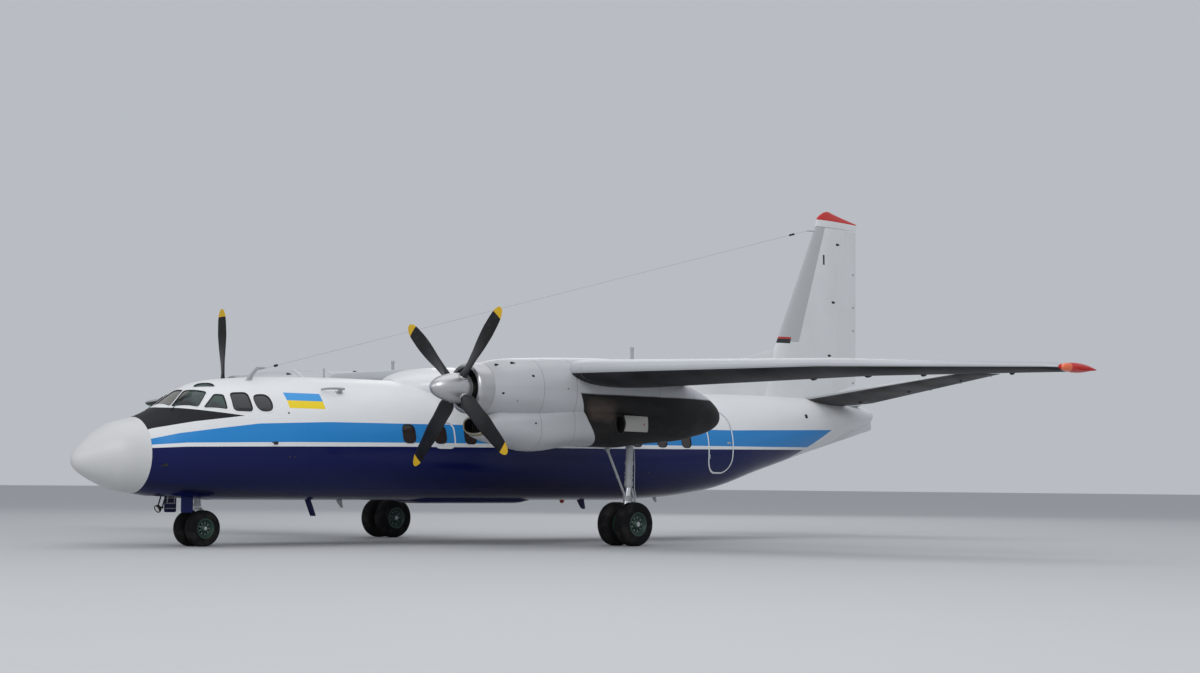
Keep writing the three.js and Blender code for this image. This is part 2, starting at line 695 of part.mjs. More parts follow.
// Columns: side, angle of the first blade from upright, in radians
const PROPELLERS = [
  ["left", 1, -0.706],
  ["right", -1, 0.052],
];
for (const [side, sign, phase] of PROPELLERS) {
  const { blades, spinner } = propeller(phase);
  const shift = sign > 0 ? 0 : -2 * ENGINE_X;
  addPiece(`propeller_${side}`, geometryOf(blades).translate(shift, 0, 0), "blade");
  addPiece(`spinner_${side}`, geometryOf(spinner).translate(shift, 0, 0), "bareMetal");
}

// Auxiliary jet in the tail of the right nacelle
const auxFrom = new THREE.Vector3(-ENGINE_X, yOf(AUX_JET.front) + SEAM, AUX_JET.z);
const auxTo = new THREE.Vector3(-ENGINE_X, yOf(AUX_JET.rear), AUX_JET.z);
const auxLength = AUX_JET.rear - AUX_JET.front;
const AUX_PROFILE = [[0, 0], [0, 150], [auxLength, 125], [auxLength, 103], [90, 113], [90, 0]];
add("aux_jet_nozzle", turned(auxFrom, auxTo, AUX_PROFILE, NACELLE_SIDES), "darkSteel");

// Landing gear

function wheelPair(station, x, radius, rim, { halfGap, width }) {
  const centre = (dx) => new THREE.Vector3(x + dx, yOf(station), radius);
  const outer = halfGap + width;
  const half = [
    [0, rim.axle],
    [halfGap - 12, rim.axle],
    [halfGap + 10, rim.seat],
    [outer - 15, rim.seat],
    [outer - 70, rim.seat - 50],
    [outer - 70, rim.axle + 40],
    [outer - 10, rim.axle + 20],
    [outer - 10, 0],
  ];
  const mirrorHalf = half.slice(1).reverse().map(([along, r]) => [-along, r]);
  const profile = [...mirrorHalf, ...half].map(([along, r]) => [along + outer, r]);
  const scale = 1 / Math.cos(Math.PI / TYRE_SIDES);
  const tyre = (side) => {
    const shape = [
      [halfGap + 25, rim.seat + SEAM],
      [halfGap, radius * 0.78],
      [halfGap + width * 0.1, radius * 0.93],
      [halfGap + width * 0.28, radius],
      [halfGap + width * 0.72, radius],
      [halfGap + width * 0.9, radius * 0.93],
      [halfGap + width, radius * 0.78],
      [outer - 25, rim.seat + SEAM],
      [halfGap + 25, rim.seat + SEAM],
    ].map(([along, r]) => [along, r * scale]);
    const from = new THREE.Vector3(x, yOf(station), radius);
    return turned(from, new THREE.Vector3(x + side, yOf(station), radius), shape, TYRE_SIDES);
  };
  return {
    axle: turned(centre(-outer), centre(outer), profile, RIM_SIDES),
    tyres: { inner: tyre(-1), outer: tyre(1) },
  };
}

const JACK_PAD = { radius: 36, drop: 14 };
const MAIN_RIM = { axle: 55, seat: 235 };
const NOSE_RIM = { axle: 40, seat: 185 };
const MAIN_WHEEL = { halfGap: 105, width: 295 };
const NOSE_WHEEL = { halfGap: 80, width: 245 };
const main = wheelPair(MAIN_STATION, ENGINE_X, MAIN_RADIUS, MAIN_RIM, MAIN_WHEEL);
const nose = wheelPair(NOSE_STATION, 0, NOSE_RADIUS, NOSE_RIM, NOSE_WHEEL);
addPair("main_wheels", main.axle, "hubGreen");
addPair("main_tyre_outer", main.tyres.outer, "rubber");
addPair("main_tyre_inner", main.tyres.inner, "rubber");
add("nose_wheels", nose.axle, "hubGreen");
add("nose_tyre_left", nose.tyres.outer, "rubber");
add("nose_tyre_right", nose.tyres.inner, "rubber");

// The lug that holds an axle, with a flat jacking pad under it
function lug(x, station, z, half, outer, inner) {
  const at = (dx, height) => new THREE.Vector3(x + dx, yOf(station), height);
  const foot = z - outer - JACK_PAD.drop;
  return {
    solid: rod(at(-half, z), at(half, z), outer, RIM_SIDES),
    pad: rod(at(0, foot + 30), at(0, foot), JACK_PAD.radius),
    bore: rod(at(-500, z), at(500, z), inner, RIM_SIDES),
  };
}

// Legs, drag struts and torque links. Columns: station and height of each end, radius
const MAIN_TUBES = [
  [10690, MAIN_WELL.top - SEAM, 10640, 1250, 80],
  [10645, 1300, 10555, MAIN_RADIUS + 40, 64],
  [10020, 1985, 10560, 960, 30],
  [10690, 1160, 10800, 900, 18],
  [10800, 900, 10600, 660, 18],
];
const NOSE_TUBES = [
  [NOSE_STATION, NOSE_WELL.top - SEAM, NOSE_STATION, 760, 70],
  [1900, 1250, NOSE_STATION, 900, 32],
];
const FORK_TUBES = [
  [NOSE_STATION, 754, NOSE_STATION, NOSE_RADIUS + 40, 52],
  [NOSE_STATION + 40, 725, NOSE_STATION + 200, 620, 14],
  [NOSE_STATION + 200, 620, NOSE_STATION + 40, 460, 14],
];
const tube = (x, [station, z, endStation, endZ, radius]) => (
  rod(new THREE.Vector3(x, yOf(station), z), new THREE.Vector3(x, yOf(endStation), endZ), radius)
);

const mainLug = lug(ENGINE_X, MAIN_STATION, MAIN_RADIUS, 85, 115, MAIN_RIM.axle + 5);
const mainTubes = MAIN_TUBES.map((row) => tube(ENGINE_X, row));
const mainLeg = joined([...mainTubes, mainLug.solid, mainLug.pad]).subtract(mainLug.bore);
const inWell = box(
  new THREE.Vector3(ENGINE_X - MAIN_WELL.half + 10, yOf(MAIN_WELL.front) + 10, 1500),
  new THREE.Vector3(ENGINE_X + MAIN_WELL.half - 10, yOf(MAIN_WELL.rear) - 10, MAIN_WELL.top - SEAM),
);
addPair("main_leg", mainLeg.subtract(nacelleSolid(SEAM).subtract(inWell)), "gearGrey");

const noseLug = lug(0, NOSE_STATION, NOSE_RADIUS, 60, 85, NOSE_RIM.axle + 5);
const forkTubes = FORK_TUBES.map((row) => tube(0, row));
const noseFork = joined([...forkTubes, noseLug.solid, noseLug.pad]).subtract(noseLug.bore);
add("nose_leg", joined(NOSE_TUBES.map((row) => tube(0, row))), "gearGrey");
add("nose_fork", noseFork, "gearGrey");

// The landing lamp, on two arms from the roof of the nose wheel well
const LAMP = { rear: [1925, 755], front: [1850, 712], radius: 78 };
const LAMP_ARM = { half: 80, top: [2110, NOSE_WELL.top - 6], radius: 14 };
const lampAt = (x, [station, z]) => new THREE.Vector3(x, yOf(station), z);
const lampArm = (x) => rod(lampAt(x, LAMP_ARM.top), lampAt(x, LAMP.rear), LAMP_ARM.radius);
const noseLamp = joined([
  lampArm(-LAMP_ARM.half),
  lampArm(LAMP_ARM.half),
  rod(lampAt(-LAMP_ARM.half - 10, LAMP.rear), lampAt(LAMP_ARM.half + 10, LAMP.rear), 18),
  rod(lampAt(0, LAMP.rear), lampAt(0, LAMP.front), LAMP.radius),
]);
add("nose_lamp", noseLamp, "darkSteel");

const NOSE_DOOR = { inner: 285, outer: 299, front: 2200, rear: 2480, low: 640, high: 1060 };
const noseDoor = box(
  new THREE.Vector3(NOSE_DOOR.inner, yOf(NOSE_DOOR.front), NOSE_DOOR.low),
  new THREE.Vector3(NOSE_DOOR.outer, yOf(NOSE_DOOR.rear), NOSE_DOOR.high),
);
addPair("nose_door", noseDoor.subtract(bodyGrown), "navy");

export default aircraft;
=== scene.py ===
import math

import bmesh
import bpy
import numpy as np
from mathutils import Matrix, Vector
from mathutils.bvhtree import BVHTree


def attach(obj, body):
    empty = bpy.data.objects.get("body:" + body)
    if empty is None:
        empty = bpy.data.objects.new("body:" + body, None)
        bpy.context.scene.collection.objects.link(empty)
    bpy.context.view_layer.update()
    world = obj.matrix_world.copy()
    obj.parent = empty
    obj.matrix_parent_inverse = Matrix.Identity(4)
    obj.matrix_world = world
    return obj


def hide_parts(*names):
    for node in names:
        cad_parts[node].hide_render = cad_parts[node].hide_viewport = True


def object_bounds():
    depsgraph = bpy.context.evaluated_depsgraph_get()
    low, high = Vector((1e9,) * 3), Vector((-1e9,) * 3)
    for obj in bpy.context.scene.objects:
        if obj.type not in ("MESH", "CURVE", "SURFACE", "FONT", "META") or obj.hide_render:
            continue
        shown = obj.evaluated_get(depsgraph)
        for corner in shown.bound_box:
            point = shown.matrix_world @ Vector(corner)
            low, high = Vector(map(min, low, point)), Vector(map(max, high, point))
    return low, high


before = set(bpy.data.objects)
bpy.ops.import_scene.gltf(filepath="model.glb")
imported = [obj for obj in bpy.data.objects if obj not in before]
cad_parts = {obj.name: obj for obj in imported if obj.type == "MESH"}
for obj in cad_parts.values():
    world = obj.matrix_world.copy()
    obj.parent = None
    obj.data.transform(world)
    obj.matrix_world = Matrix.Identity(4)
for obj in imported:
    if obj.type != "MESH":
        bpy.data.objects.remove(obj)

CAD_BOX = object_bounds()
NOSE_Y = CAD_BOX[0].y
LENGTH = CAD_BOX[1].y - NOSE_Y
ENGINE_X = 3.95
SHAFT_Z = 3.09
PROP_STATION = 5.97
PROP_RADIUS = 1.95
MAIN_WHEELS = {
    "station": 10.55, "x": ENGINE_X, "radius": 0.45,
    "seat": 0.235, "gap": 0.105, "width": 0.295, "axle": 0.055,
}
NOSE_WHEELS = {
    "station": 2.76, "x": 0.0, "radius": 0.35,
    "seat": 0.185, "gap": 0.08, "width": 0.245, "axle": 0.04,
}
SIDES = {"left": 1, "right": -1}
AFT, ACROSS, INBOARD = (0, 1, 0), (1, 0, 0), (-1, 0, 0)

# ---- Shapes: an array of points and a list of faces ----


def place(x, station, z):
    return np.array([x, station + NOSE_Y, z], float)


def joined(*shapes):
    points, faces, start = [], [], 0
    for own, polygons in shapes:
        points.append(np.asarray(own, float))
        faces += [tuple(i + start for i in polygon) for polygon in polygons]
        start += len(own)
    return np.vstack(points), faces


def mirrored(shape):
    return shape[0] * (-1, 1, 1), [polygon[::-1] for polygon in shape[1]]


def both(shape):
    return joined(shape, mirrored(shape))


def for_side(shape, sign):
    return shape if sign > 0 else mirrored(shape)


def loft(rings, closed=False):
    """A skin through rings that all have the same count of points."""
    rings = [np.asarray(ring, float) for ring in rings]
    count, last = len(rings[0]), len(rings) - 1
    faces = []
    for k in range(len(rings) if closed else last):
        a, b = k * count, ((k + 1) % len(rings)) * count
        faces += [(a + i, a + (i + 1) % count, b + (i + 1) % count, b + i) for i in range(count)]
    points = np.vstack(rings)
    if not closed:
        points = np.vstack([points, rings[0].mean(0), rings[last].mean(0)])
        first, end, final = len(points) - 2, len(points) - 1, last * count
        for i in range(count):
            faces.append((first, (i + 1) % count, i))
            faces.append((end, final + i, final + (i + 1) % count))
    return points, faces


def unit(vector):
    return np.asarray(vector, float) / np.linalg.norm(vector)


def full_turn(count, phase=0.0):
    """Evenly spaced angles of a full turn."""
    return (np.arange(count) + phase) * 2 * math.pi / count


def frame_of(direction):
    """Two unit vectors square to a direction."""
    w = unit(direction)
    u = unit(np.cross(w, (0, 0, 1) if abs(w[2]) < 0.9 else (0, 1, 0)))
    return u, np.cross(w, u)


def circle(centre, direction, radius, sides=24):
    u, v = frame_of(direction)
    angles = full_turn(sides)
    return np.asarray(centre) + radius * (np.outer(np.cos(angles), u) + np.outer(np.sin(angles), v))


def lathe(start, direction, profile, sides=48):
    """A round body about a line, from (along, radius) pairs, hollow where they end at their start."""
    w = unit(direction)
    rings = [circle(np.asarray(start) + along * w, w, max(radius, 1e-5), sides) for along, radius in profile]
    if profile[0] == profile[-1]:
        return loft(rings[:-1], closed=True)
    return loft(rings)


def rod(start, end, radius, sides=20, bevel=0.0):
    start, end = np.asarray(start, float), np.asarray(end, float)
    length = np.linalg.norm(end - start)
    bevel = bevel or min(radius, length) * 0.12
    profile = [(0, radius - bevel), (bevel, radius), (length - bevel, radius), (length, radius - bevel)]
    return lathe(start, end - start, profile, sides)


def tube(path, radius, sides=8):
    path = np.asarray(path, float)
    along = np.gradient(path, axis=0)
    return loft([circle(p, d, radius, sides) for p, d in zip(path, along)])


def block(low, high, bevel=0.006):
    """A box with chamfered edges."""
    low, high = np.minimum(low, high), np.maximum(low, high)
    bevel = min(bevel, (high - low).min() * 0.4)
    rings = []
    for z, inset in ((low[2], bevel), (low[2] + bevel, 0), (high[2] - bevel, 0), (high[2], bevel)):
        x0, x1, y0, y1 = low[0] + inset, high[0] - inset, low[1] + inset, high[1] - inset
        c = bevel
        rings.append([
            (x0 + c, y0, z), (x1 - c, y0, z), (x1, y0 + c, z), (x1, y1 - c, z),
            (x1 - c, y1, z), (x0 + c, y1, z), (x0, y1 - c, z), (x0, y0 + c, z),
        ])
    return loft(rings)


def prism(outline, shift):
    """A flat outline of points pushed along a vector."""
    return loft([outline, np.asarray(outline) + shift])


def pchip(x, y):
    """The smooth curve through points that never swings past them."""
    x, y = np.asarray(x, float), np.asarray(y, float)
    h = np.diff(x)
    d = np.diff(y) / h
    m = np.concatenate([[d[0]], np.zeros(len(x) - 2), [d[-1]]])
    for i in range(1, len(x) - 1):
        if d[i - 1] * d[i] > 0:
            a, b = 2 * h[i] + h[i - 1], h[i] + 2 * h[i - 1]
            m[i] = (a + b) / (a / d[i - 1] + b / d[i])

    def at(t):
        t = np.clip(t, x[0], x[-1])
        i = np.clip(np.searchsorted(x, t) - 1, 0, len(x) - 2)
        u = (t - x[i]) / h[i]
        rise = (3 - 2 * u) * u * u
        bend = h[i] * ((u - 1) ** 2 * u * m[i] + (u - 1) * u * u * m[i + 1])
        return y[i] + rise * (y[i + 1] - y[i]) + bend

    return at


def power(value, exponent):
    return np.sign(value) * np.abs(value) ** exponent


def oval(centre, half, square=2.0, sides=32):
    """A closed line round a point, in any two coordinates."""
    angles = full_turn(sides)
    x = centre[0] + half[0] * power(np.cos(angles), 2 / square)
    y = centre[1] + half[1] * power(np.sin(angles), 2 / square)
    return np.column_stack([x, y])


def rounded(corners, radius, steps=5):
    """A closed outline with its corners rounded off."""
    corners = np.asarray(corners, float)
    points = []
    for before, here, after in zip(np.roll(corners, 1, 0), corners, np.roll(corners, -1, 0)):
        a, b = before - here, after - here
        cut = min(radius, np.linalg.norm(a) * 0.48, np.linalg.norm(b) * 0.48)
        a, b = here + unit(a) * cut, here + unit(b) * cut
        for t in np.linspace(0, 1, steps + 1):
            points.append((1 - t) ** 2 * a + 2 * t * (1 - t) * here + t * t * b)
    return np.array(points)


def shrunk(outline, share):
    centre = outline.mean(0)
    return centre + (outline - centre) * share


# ---- Looks: materials whose colour and finish come from nodes ----


class Field:
    """A number that varies over a surface."""

    def __init__(self, tree, socket):
        self.tree, self.socket = tree, socket

    def math(self, operation, *others):
        node = self.tree.nodes.new("ShaderNodeMath")
        node.operation = operation
        for place_, value in zip(node.inputs, (self, *others)):
            if isinstance(value, Field):
                self.tree.links.new(value.socket, place_)
            else:
                place_.default_value = value
        return Field(self.tree, node.outputs[0])

    def __add__(self, other):
        return self.math("ADD", other)

    def __sub__(self, other):
        return self.math("SUBTRACT", other)

    def __rsub__(self, other):
        return self * -1 + other

    def __mul__(self, other):
        return self.math("MULTIPLY", other)

    def __abs__(self):
        return self.math("ABSOLUTE")

    def least(self, other):
        return self.math("MINIMUM", other)

    def most(self, other):
        return self.math("MAXIMUM", other)

    def over(self, level, soft=0.0):
        """1 above the level and 0 below it, over a soft width if one is given."""
        if not soft:
            return self.math("GREATER_THAN", level)
        return ((self - level) * (1 / soft)).math("ADD", 0.5).most(0).least(1)

    def flip(self):
        return self.math("MULTIPLY_ADD", -1.0, 1.0)

    def near(self, place_, half):
        """1 within a distance of a place, and 0 beyond it."""
        return abs(self - place_).over(half).flip()

    def curve(self, points):
        """The height of a line of straight stretches through (along, height) points."""
        xs, ys = [p[0] for p in points], [p[1] for p in points]
        low, high = min(ys), max(ys) + 1e-6
        node = self.tree.nodes.new("ShaderNodeFloatCurve")
        line = node.mapping.curves[0]
        for k, (x, y) in enumerate(points):
            u, v = (x - xs[0]) / (xs[-1] - xs[0]), (y - low) / (high - low)
            if k == 0 or k == len(points) - 1:
                line.points[0 if k == 0 else -1].location = (u, v)
            else:
                line.points.new(u, v)
        for point in line.points:
            point.handle_type = "VECTOR"
        node.mapping.update()
        along = (self - xs[0]) * (1 / (xs[-1] - xs[0]))
        self.tree.links.new(along.socket, node.inputs["Value"])
        return Field(self.tree, node.outputs[0]) * (high - low) + low


class Look:
    """A material with grain, soiling and layers of paint over its base colour."""

    def __init__(
        self, name, colour, rough=0.4, metal=0.0, coat=0.0, vary=0.08, grain=3.0, bump=0.1, fine=60.0,
        shine=0.5,
    ):
        self.name = name
        self.material = bpy.data.materials.new(name)
        self.material.use_nodes = True
        self.tree = self.material.node_tree
        self.shader = self.tree.nodes["Principled BSDF"]
        self.shader.inputs["Metallic"].default_value = metal
        self.shader.inputs["Coat Weight"].default_value = coat
        self.shader.inputs["Coat Roughness"].default_value = 0.12
        self.shader.inputs["Specular IOR Level"].default_value = shine
        self.material.diffuse_color = (*colour, 1)
        self.coords = self.tree.nodes.new("ShaderNodeTexCoord").outputs["Object"]
        split = self.tree.nodes.new("ShaderNodeSeparateXYZ")
        self.tree.links.new(self.coords, split.inputs[0])
        self.x, self.y, self.z = (Field(self.tree, split.outputs[k]) for k in range(3))
        self.s = self.y - NOSE_Y
        wide = self.noise(grain, 4)
        self.rough = (wide - 0.5) * vary * 2 + rough
        self.colour = self.mix(
            tuple(c * (1 - vary) for c in colour), tuple(min(1, c * (1 + vary * 0.4)) for c in colour), wide,
        )
        self.height = self.noise(fine, 3) * bump * 0.004 + wide * bump * 0.01
        self.finish()

    def noise(self, scale, detail=3, stretch=None):
        node = self.tree.nodes.new("ShaderNodeTexNoise")
        node.inputs["Scale"].default_value = scale
        node.inputs["Detail"].default_value = detail
        source = self.coords
        if stretch:
            mapping = self.tree.nodes.new("ShaderNodeMapping")
            mapping.inputs["Scale"].default_value = stretch
            self.tree.links.new(source, mapping.inputs["Vector"])
            source = mapping.outputs["Vector"]
        self.tree.links.new(source, node.inputs["Vector"])
        return Field(self.tree, node.outputs[0])

    def mix(self, base, top, amount):
        node = self.tree.nodes.new("ShaderNodeMix")
        node.data_type = "RGBA"
        for socket, value in ((node.inputs["A"], base), (node.inputs["B"], top)):
            if isinstance(value, bpy.types.NodeSocket):
                self.tree.links.new(value, socket)
            else:
                socket.default_value = (*value, 1)
        self.tree.links.new(amount.socket, node.inputs["Factor"])
        return node.outputs["Result"]

    def layer(self, colour, mask, rough=None):
        """Paint of another colour where the mask is 1."""
        self.colour = self.mix(self.colour, colour, mask)
        if rough is not None:
            self.rough = self.rough + mask * (rough - self.rough)
        self.finish()
        return self

    def raise_by(self, height):
        """Adds a relief, in metres, to the bump."""
        self.height = self.height + height
        self.finish()
        return self

    def finish(self):
        links, sockets = self.tree.links, self.shader.inputs
        links.new(self.colour, sockets["Base Color"])
        links.new(self.rough.socket, sockets["Roughness"])
        bump = self.tree.nodes.get("Bump") or self.tree.nodes.new("ShaderNodeBump")
        bump.inputs["Distance"].default_value = 1.0
        links.new(self.height.socket, bump.inputs["Height"])
        links.new(bump.outputs["Normal"], sockets["Normal"])


def painted(name, colour, **more):
    settings = {"rough": 0.34, "coat": 0.15, "vary": 0.06, "grain": 1.6, "bump": 0.08, **more}
    return Look(name, colour, **settings)


# ---- Pieces: Blender objects that ride on the frame's bodies ----


def mesh_of(name, shape):
    """A mesh of a shape, with its faces turned outward."""
    mesh = bpy.data.meshes.new(name)
    mesh.from_pydata(shape[0].tolist(), [], [list(polygon) for polygon in shape[1]])
    edit = bmesh.new()
    edit.from_mesh(mesh)
    bmesh.ops.recalc_face_normals(edit, faces=edit.faces)
    edit.to_mesh(mesh)
    edit.free()
    return mesh


def smooth(obj, sharp=30):
    obj.data.shade_smooth()
    obj.data.set_sharp_from_angle(angle=math.radians(sharp))


def piece(name, shape, look, body="root", node=None, slot=None, sharp=30, side=None):
    """A mesh in its place. node names the solid that it stands for, and * is filled by the side."""
    if side:
        name, body, node = (text and text.replace("*", side) for text in (name, body, node))
        shape = for_side(shape, SIDES[side])
    obj = bpy.data.objects.new(name, mesh_of(name, shape))
    bpy.context.scene.collection.objects.link(obj)
    obj.data.materials.append(LOOKS[look].material)
    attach(obj, body)
    smooth(obj, sharp)
    if node:
        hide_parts(node)
    if slot is None:
        slot = SLOT.get(look, look)
    return obj


def boolean(obj, shape, look=None, operation="DIFFERENCE"):
    """Cuts, joins or trims a piece by a shape; look dresses the cut faces."""
    tool = bpy.data.objects.new("tool", mesh_of("tool", shape))
    bpy.context.scene.collection.objects.link(tool)
    if look:
        tool.data.materials.append(LOOKS[look].material)
    modifier = obj.modifiers.new("cut", "BOOLEAN")
    modifier.object = tool
    modifier.operation = operation
    modifier.solver = "MANIFOLD"
    modifier.material_mode = "TRANSFER"
    bpy.context.view_layer.update()
    made = bpy.data.meshes.new_from_object(obj.evaluated_get(bpy.context.evaluated_depsgraph_get()))
    obj.modifiers.clear()
    if not made.polygons:
        raise RuntimeError(f"the cut on {obj.name} left nothing")
    obj.data = made
    bpy.data.objects.remove(tool)
    smooth(obj)


def dress_underside(*objs, level=-0.3):
    """Gives the faces that look down a look of their own, a dark grey of painted shade."""
    for obj in objs:
        obj.data.materials.append(LOOKS["underside_shade"].material)
        for polygon in obj.data.polygons:
            if polygon.normal.z < level:
                polygon.material_index = len(obj.data.materials) - 1


# ---- Fuselage skin ----

# Columns: station, top, bottom, half width, height of the widest line, squareness of the lower half
SKIN_ROWS = np.array([
    (0, 1.665, 1.615, 0.025, 1.64, 2), (0.04, 1.77, 1.51, 0.13, 1.64, 2),
    (0.14, 1.89, 1.415, 0.238, 1.65, 2), (0.28, 2.01, 1.33, 0.34, 1.665, 2),
    (0.54, 2.21, 1.205, 0.502, 1.7, 2), (0.81, 2.355, 1.1, 0.627, 1.725, 2),
    (1.27, 2.47, 1.02, 0.73, 1.745, 2), (1.83, 2.71, 0.95, 0.93, 1.79, 2.1),
    (2.36, 3.06, 0.925, 1.09, 1.84, 2.2), (2.77, 3.21, 0.905, 1.19, 1.87, 2.3),
    (3.4, 3.29, 0.9, 1.31, 1.9, 2.4), (4.18, 3.345, 0.9, 1.4, 1.93, 2.5),
    (5.2, 3.385, 0.9, 1.44, 1.95, 2.6), (6.2, 3.4, 0.9, 1.45, 1.95, 2.6), (13.6, 3.4, 0.9, 1.45, 1.95, 2.6),
    (15, 3.42, 0.955, 1.42, 1.99, 2.5), (16.64, 3.45, 1.12, 1.31, 2.15, 2.4),
    (18.6, 3.485, 1.59, 1.06, 2.5, 2.3), (20, 3.49, 1.93, 0.85, 2.71, 2.2),
    (21.2, 3.47, 2.23, 0.64, 2.88, 2.1), (22.3, 3.41, 2.6, 0.42, 3.02, 2),
    (23.1, 3.31, 2.82, 0.23, 3.08, 2), (23.43, 3.23, 2.95, 0.12, 3.1, 2),
    (LENGTH, 3.15, 3.06, 0.045, 3.105, 2),
])
_station, _top, _bottom, _half, _wide, _square = SKIN_ROWS.T
WIDE = pchip(_station, _wide)
SQUARE = pchip(_station, _square)
HALF_2 = pchip(_station, _half ** 2)
UP_2 = pchip(_station, (_top - _wide) ** 2)
DOWN_2 = pchip(_station, (_wide - _bottom) ** 2)
# The longest edge of a line that lies on the skin, and how far the cutters stand out from it
EDGE_LENGTH = 0.08
ABOVE_SKIN = 0.05


def skin_raw(station, theta):
    c, s = np.cos(theta), np.sin(theta)
    exponent = np.where(s < 0, 2 / SQUARE(station), 1.0)
    reach = np.sqrt(np.where(s < 0, DOWN_2(station), UP_2(station)))
    x = np.sqrt(HALF_2(station)) * power(c, exponent)
    z = WIDE(station) + reach * power(s, exponent)
    return np.stack([x, station + NOSE_Y, z], -1)


def skin_normal(station, theta):
    step = 1e-3
    # Just off the widest line, where the section's slope isn't defined
    theta = np.where(np.abs(np.sin(theta)) < 0.02, theta + 0.04 * np.sign(np.cos(theta)), theta)
    ahead, behind = np.maximum(station - step, 0), np.minimum(station + step, LENGTH)
    along = skin_raw(behind, theta) - skin_raw(ahead, theta)
    around = skin_raw(station, theta + step) - skin_raw(station, theta - step)
    normal = np.cross(along, around)
    return normal / np.linalg.norm(normal, axis=-1, keepdims=True)


def skin(station, degrees, out=0.0):
    """Points of the fuselage, or off it; degrees run from the left side over the top."""
    station, theta = np.broadcast_arrays(np.asarray(station, float), np.radians(degrees))
    return skin_raw(station, theta) + skin_normal(station, theta) * np.expand_dims(np.asarray(out, float), -1)


def degrees_at(station, z):
    """Where a height lies on the left flank."""
    up = z >= WIDE(station)
    reach = np.sqrt(np.where(up, UP_2(station), DOWN_2(station)))
    share = np.clip(np.abs(z - WIDE(station)) / reach, 0, 1)
    angle = np.arcsin(np.where(up, share, share ** (SQUARE(station) / 2)))
    return np.degrees(np.where(up, angle, -angle))


def box_outline(station, z, width, height, radius):
    """A rounded rectangle on the flank, as (station, degrees) points."""
    x, y = width / 2, height / 2
    corners = [(station - x, z - y), (station + x, z - y), (station + x, z + y), (station - x, z + y)]
    outline = rounded(corners, radius, 6)
    return np.column_stack([outline[:, 0], degrees_at(*outline.T)])


def refined(outline, longest, where=skin):
    """The same closed outline with its long edges split."""
    points = []
    for a, b in zip(outline, np.roll(outline, -1, 0)):
        steps = max(1, math.ceil(np.linalg.norm(where(*b) - where(*a)) / longest))
        points += [a + (b - a) * t / steps for t in range(steps)]
    return np.array(points)


def plug(outline, low, high, rings=4):
    """A closed body that fills an outline between two distances from the skin."""
    outline = refined(outline, EDGE_LENGTH)
    shares = np.linspace(1, 0.02, rings)
    upper = [skin(*shrunk(outline, share).T, high) for share in shares]
    lower = [skin(*shrunk(outline, share).T, low) for share in shares]
    return loft(lower[::-1] + upper)


def band(outline, width, low, high, shift):
    """A raised strip along a closed outline on the skin, moved outward from it by shift."""
    outline = refined(outline, EDGE_LENGTH)
    after = np.roll(outline, -1, 0)
    if (outline[:, 0] * after[:, 1] - after[:, 0] * outline[:, 1]).sum() < 0:
        outline = outline[::-1]
    points = skin(*outline.T)
    normals = skin_normal(outline[:, 0], np.radians(outline[:, 1]))
    across = np.cross(np.roll(points, -1, 0) - np.roll(points, 1, 0), normals)
    across /= np.linalg.norm(across, axis=1, keepdims=True)
    middle = points + across * shift
    half, shoulder = width / 2, high * 0.7
    section = [(-half, low), (-half, shoulder), (-half / 2, high)]
    section += [(-a, b) for a, b in section[::-1]]
    return loft(np.stack([middle + across * a + normals * b for a, b in section], 1), closed=True)


def skin_shading(obj):
    """Gives the faces on the skin the smooth normals of the skin itself."""
    mesh = obj.data
    corners = np.empty(len(mesh.loops), np.int32)
    mesh.loops.foreach_get("vertex_index", corners)
    points = np.empty(len(mesh.vertices) * 3, np.float32)
    mesh.vertices.foreach_get("co", points)
    points = points.reshape(-1, 3)[corners].astype(float)
    faces = np.repeat([p.normal for p in mesh.polygons], [p.loop_total for p in mesh.polygons], axis=0)
    normals = np.array([n.vector for n in mesh.corner_normals])
    station = np.clip(points[:, 1] - NOSE_Y, 1e-3, LENGTH - 1e-3)
    rise = points[:, 2] - WIDE(station)
    up = rise >= 0
    reach = np.sqrt(np.where(up, UP_2(station), DOWN_2(station)))
    square = np.where(up, 2.0, SQUARE(station))
    a = power(points[:, 0] / np.sqrt(HALF_2(station)), square / 2)
    b = power(rise / reach, square / 2)
    ideal = skin_normal(station, np.arctan2(b, a))
    close = (np.abs(np.hypot(a, b) - 1) < 0.02) & ((faces * ideal).sum(1) > 0.93)
    normals[close] = ideal[close]
    mesh.normals_split_custom_set(normals.tolist())


# ---- Paint ----

WHITE = (0.8, 0.81, 0.82)
NAVY = (0.004, 0.008, 0.078)
SKY = (0.028, 0.25, 0.62)
BLACK = (0.012, 0.013, 0.016)
RED = (0.6, 0.025, 0.02)
# Each line is a row of (station, height) points on the flank.
SKY_TOP = [
    (1.2, 2.03), (1.8, 2.165), (2.53, 2.273), (3.34, 2.379), (4.92, 2.445), (6.9, 2.46), (16.83, 2.56),
    (18.3, 2.6), (23.6, 2.74),
]
SKY_FOOT = [
    (1.2, 1.93), (1.9, 1.985), (4.14, 2.035), (6.62, 2.07), (14.14, 2.155), (18.3, 2.195), (23.6, 2.27),
]
NAVY_TOP = [(1.2, 1.87), (1.9, 1.91), (4.14, 1.95), (6.62, 1.99), (14.14, 2.07), (18.3, 2.13), (23.6, 2.21)]
TAIL_END = [(1.0, 18.0), (2.09, 19.92), (2.69, 21.2), (3.6, 23.2)]
GLARE_FOOT = [(1.2, 2.2), (1.37, 2.25), (2.11, 2.395), (3.08, 2.525), (3.6, 2.6)]
GLARE_TOP = [(1.2, 2.9), (1.75, 2.66), (1.97, 2.65), (3.08, 2.525), (3.6, 2.46)]
FLAG = {"station": 4.5, "z": 2.855, "half_long": 0.415, "half_tall": 0.155, "lean": -0.07}
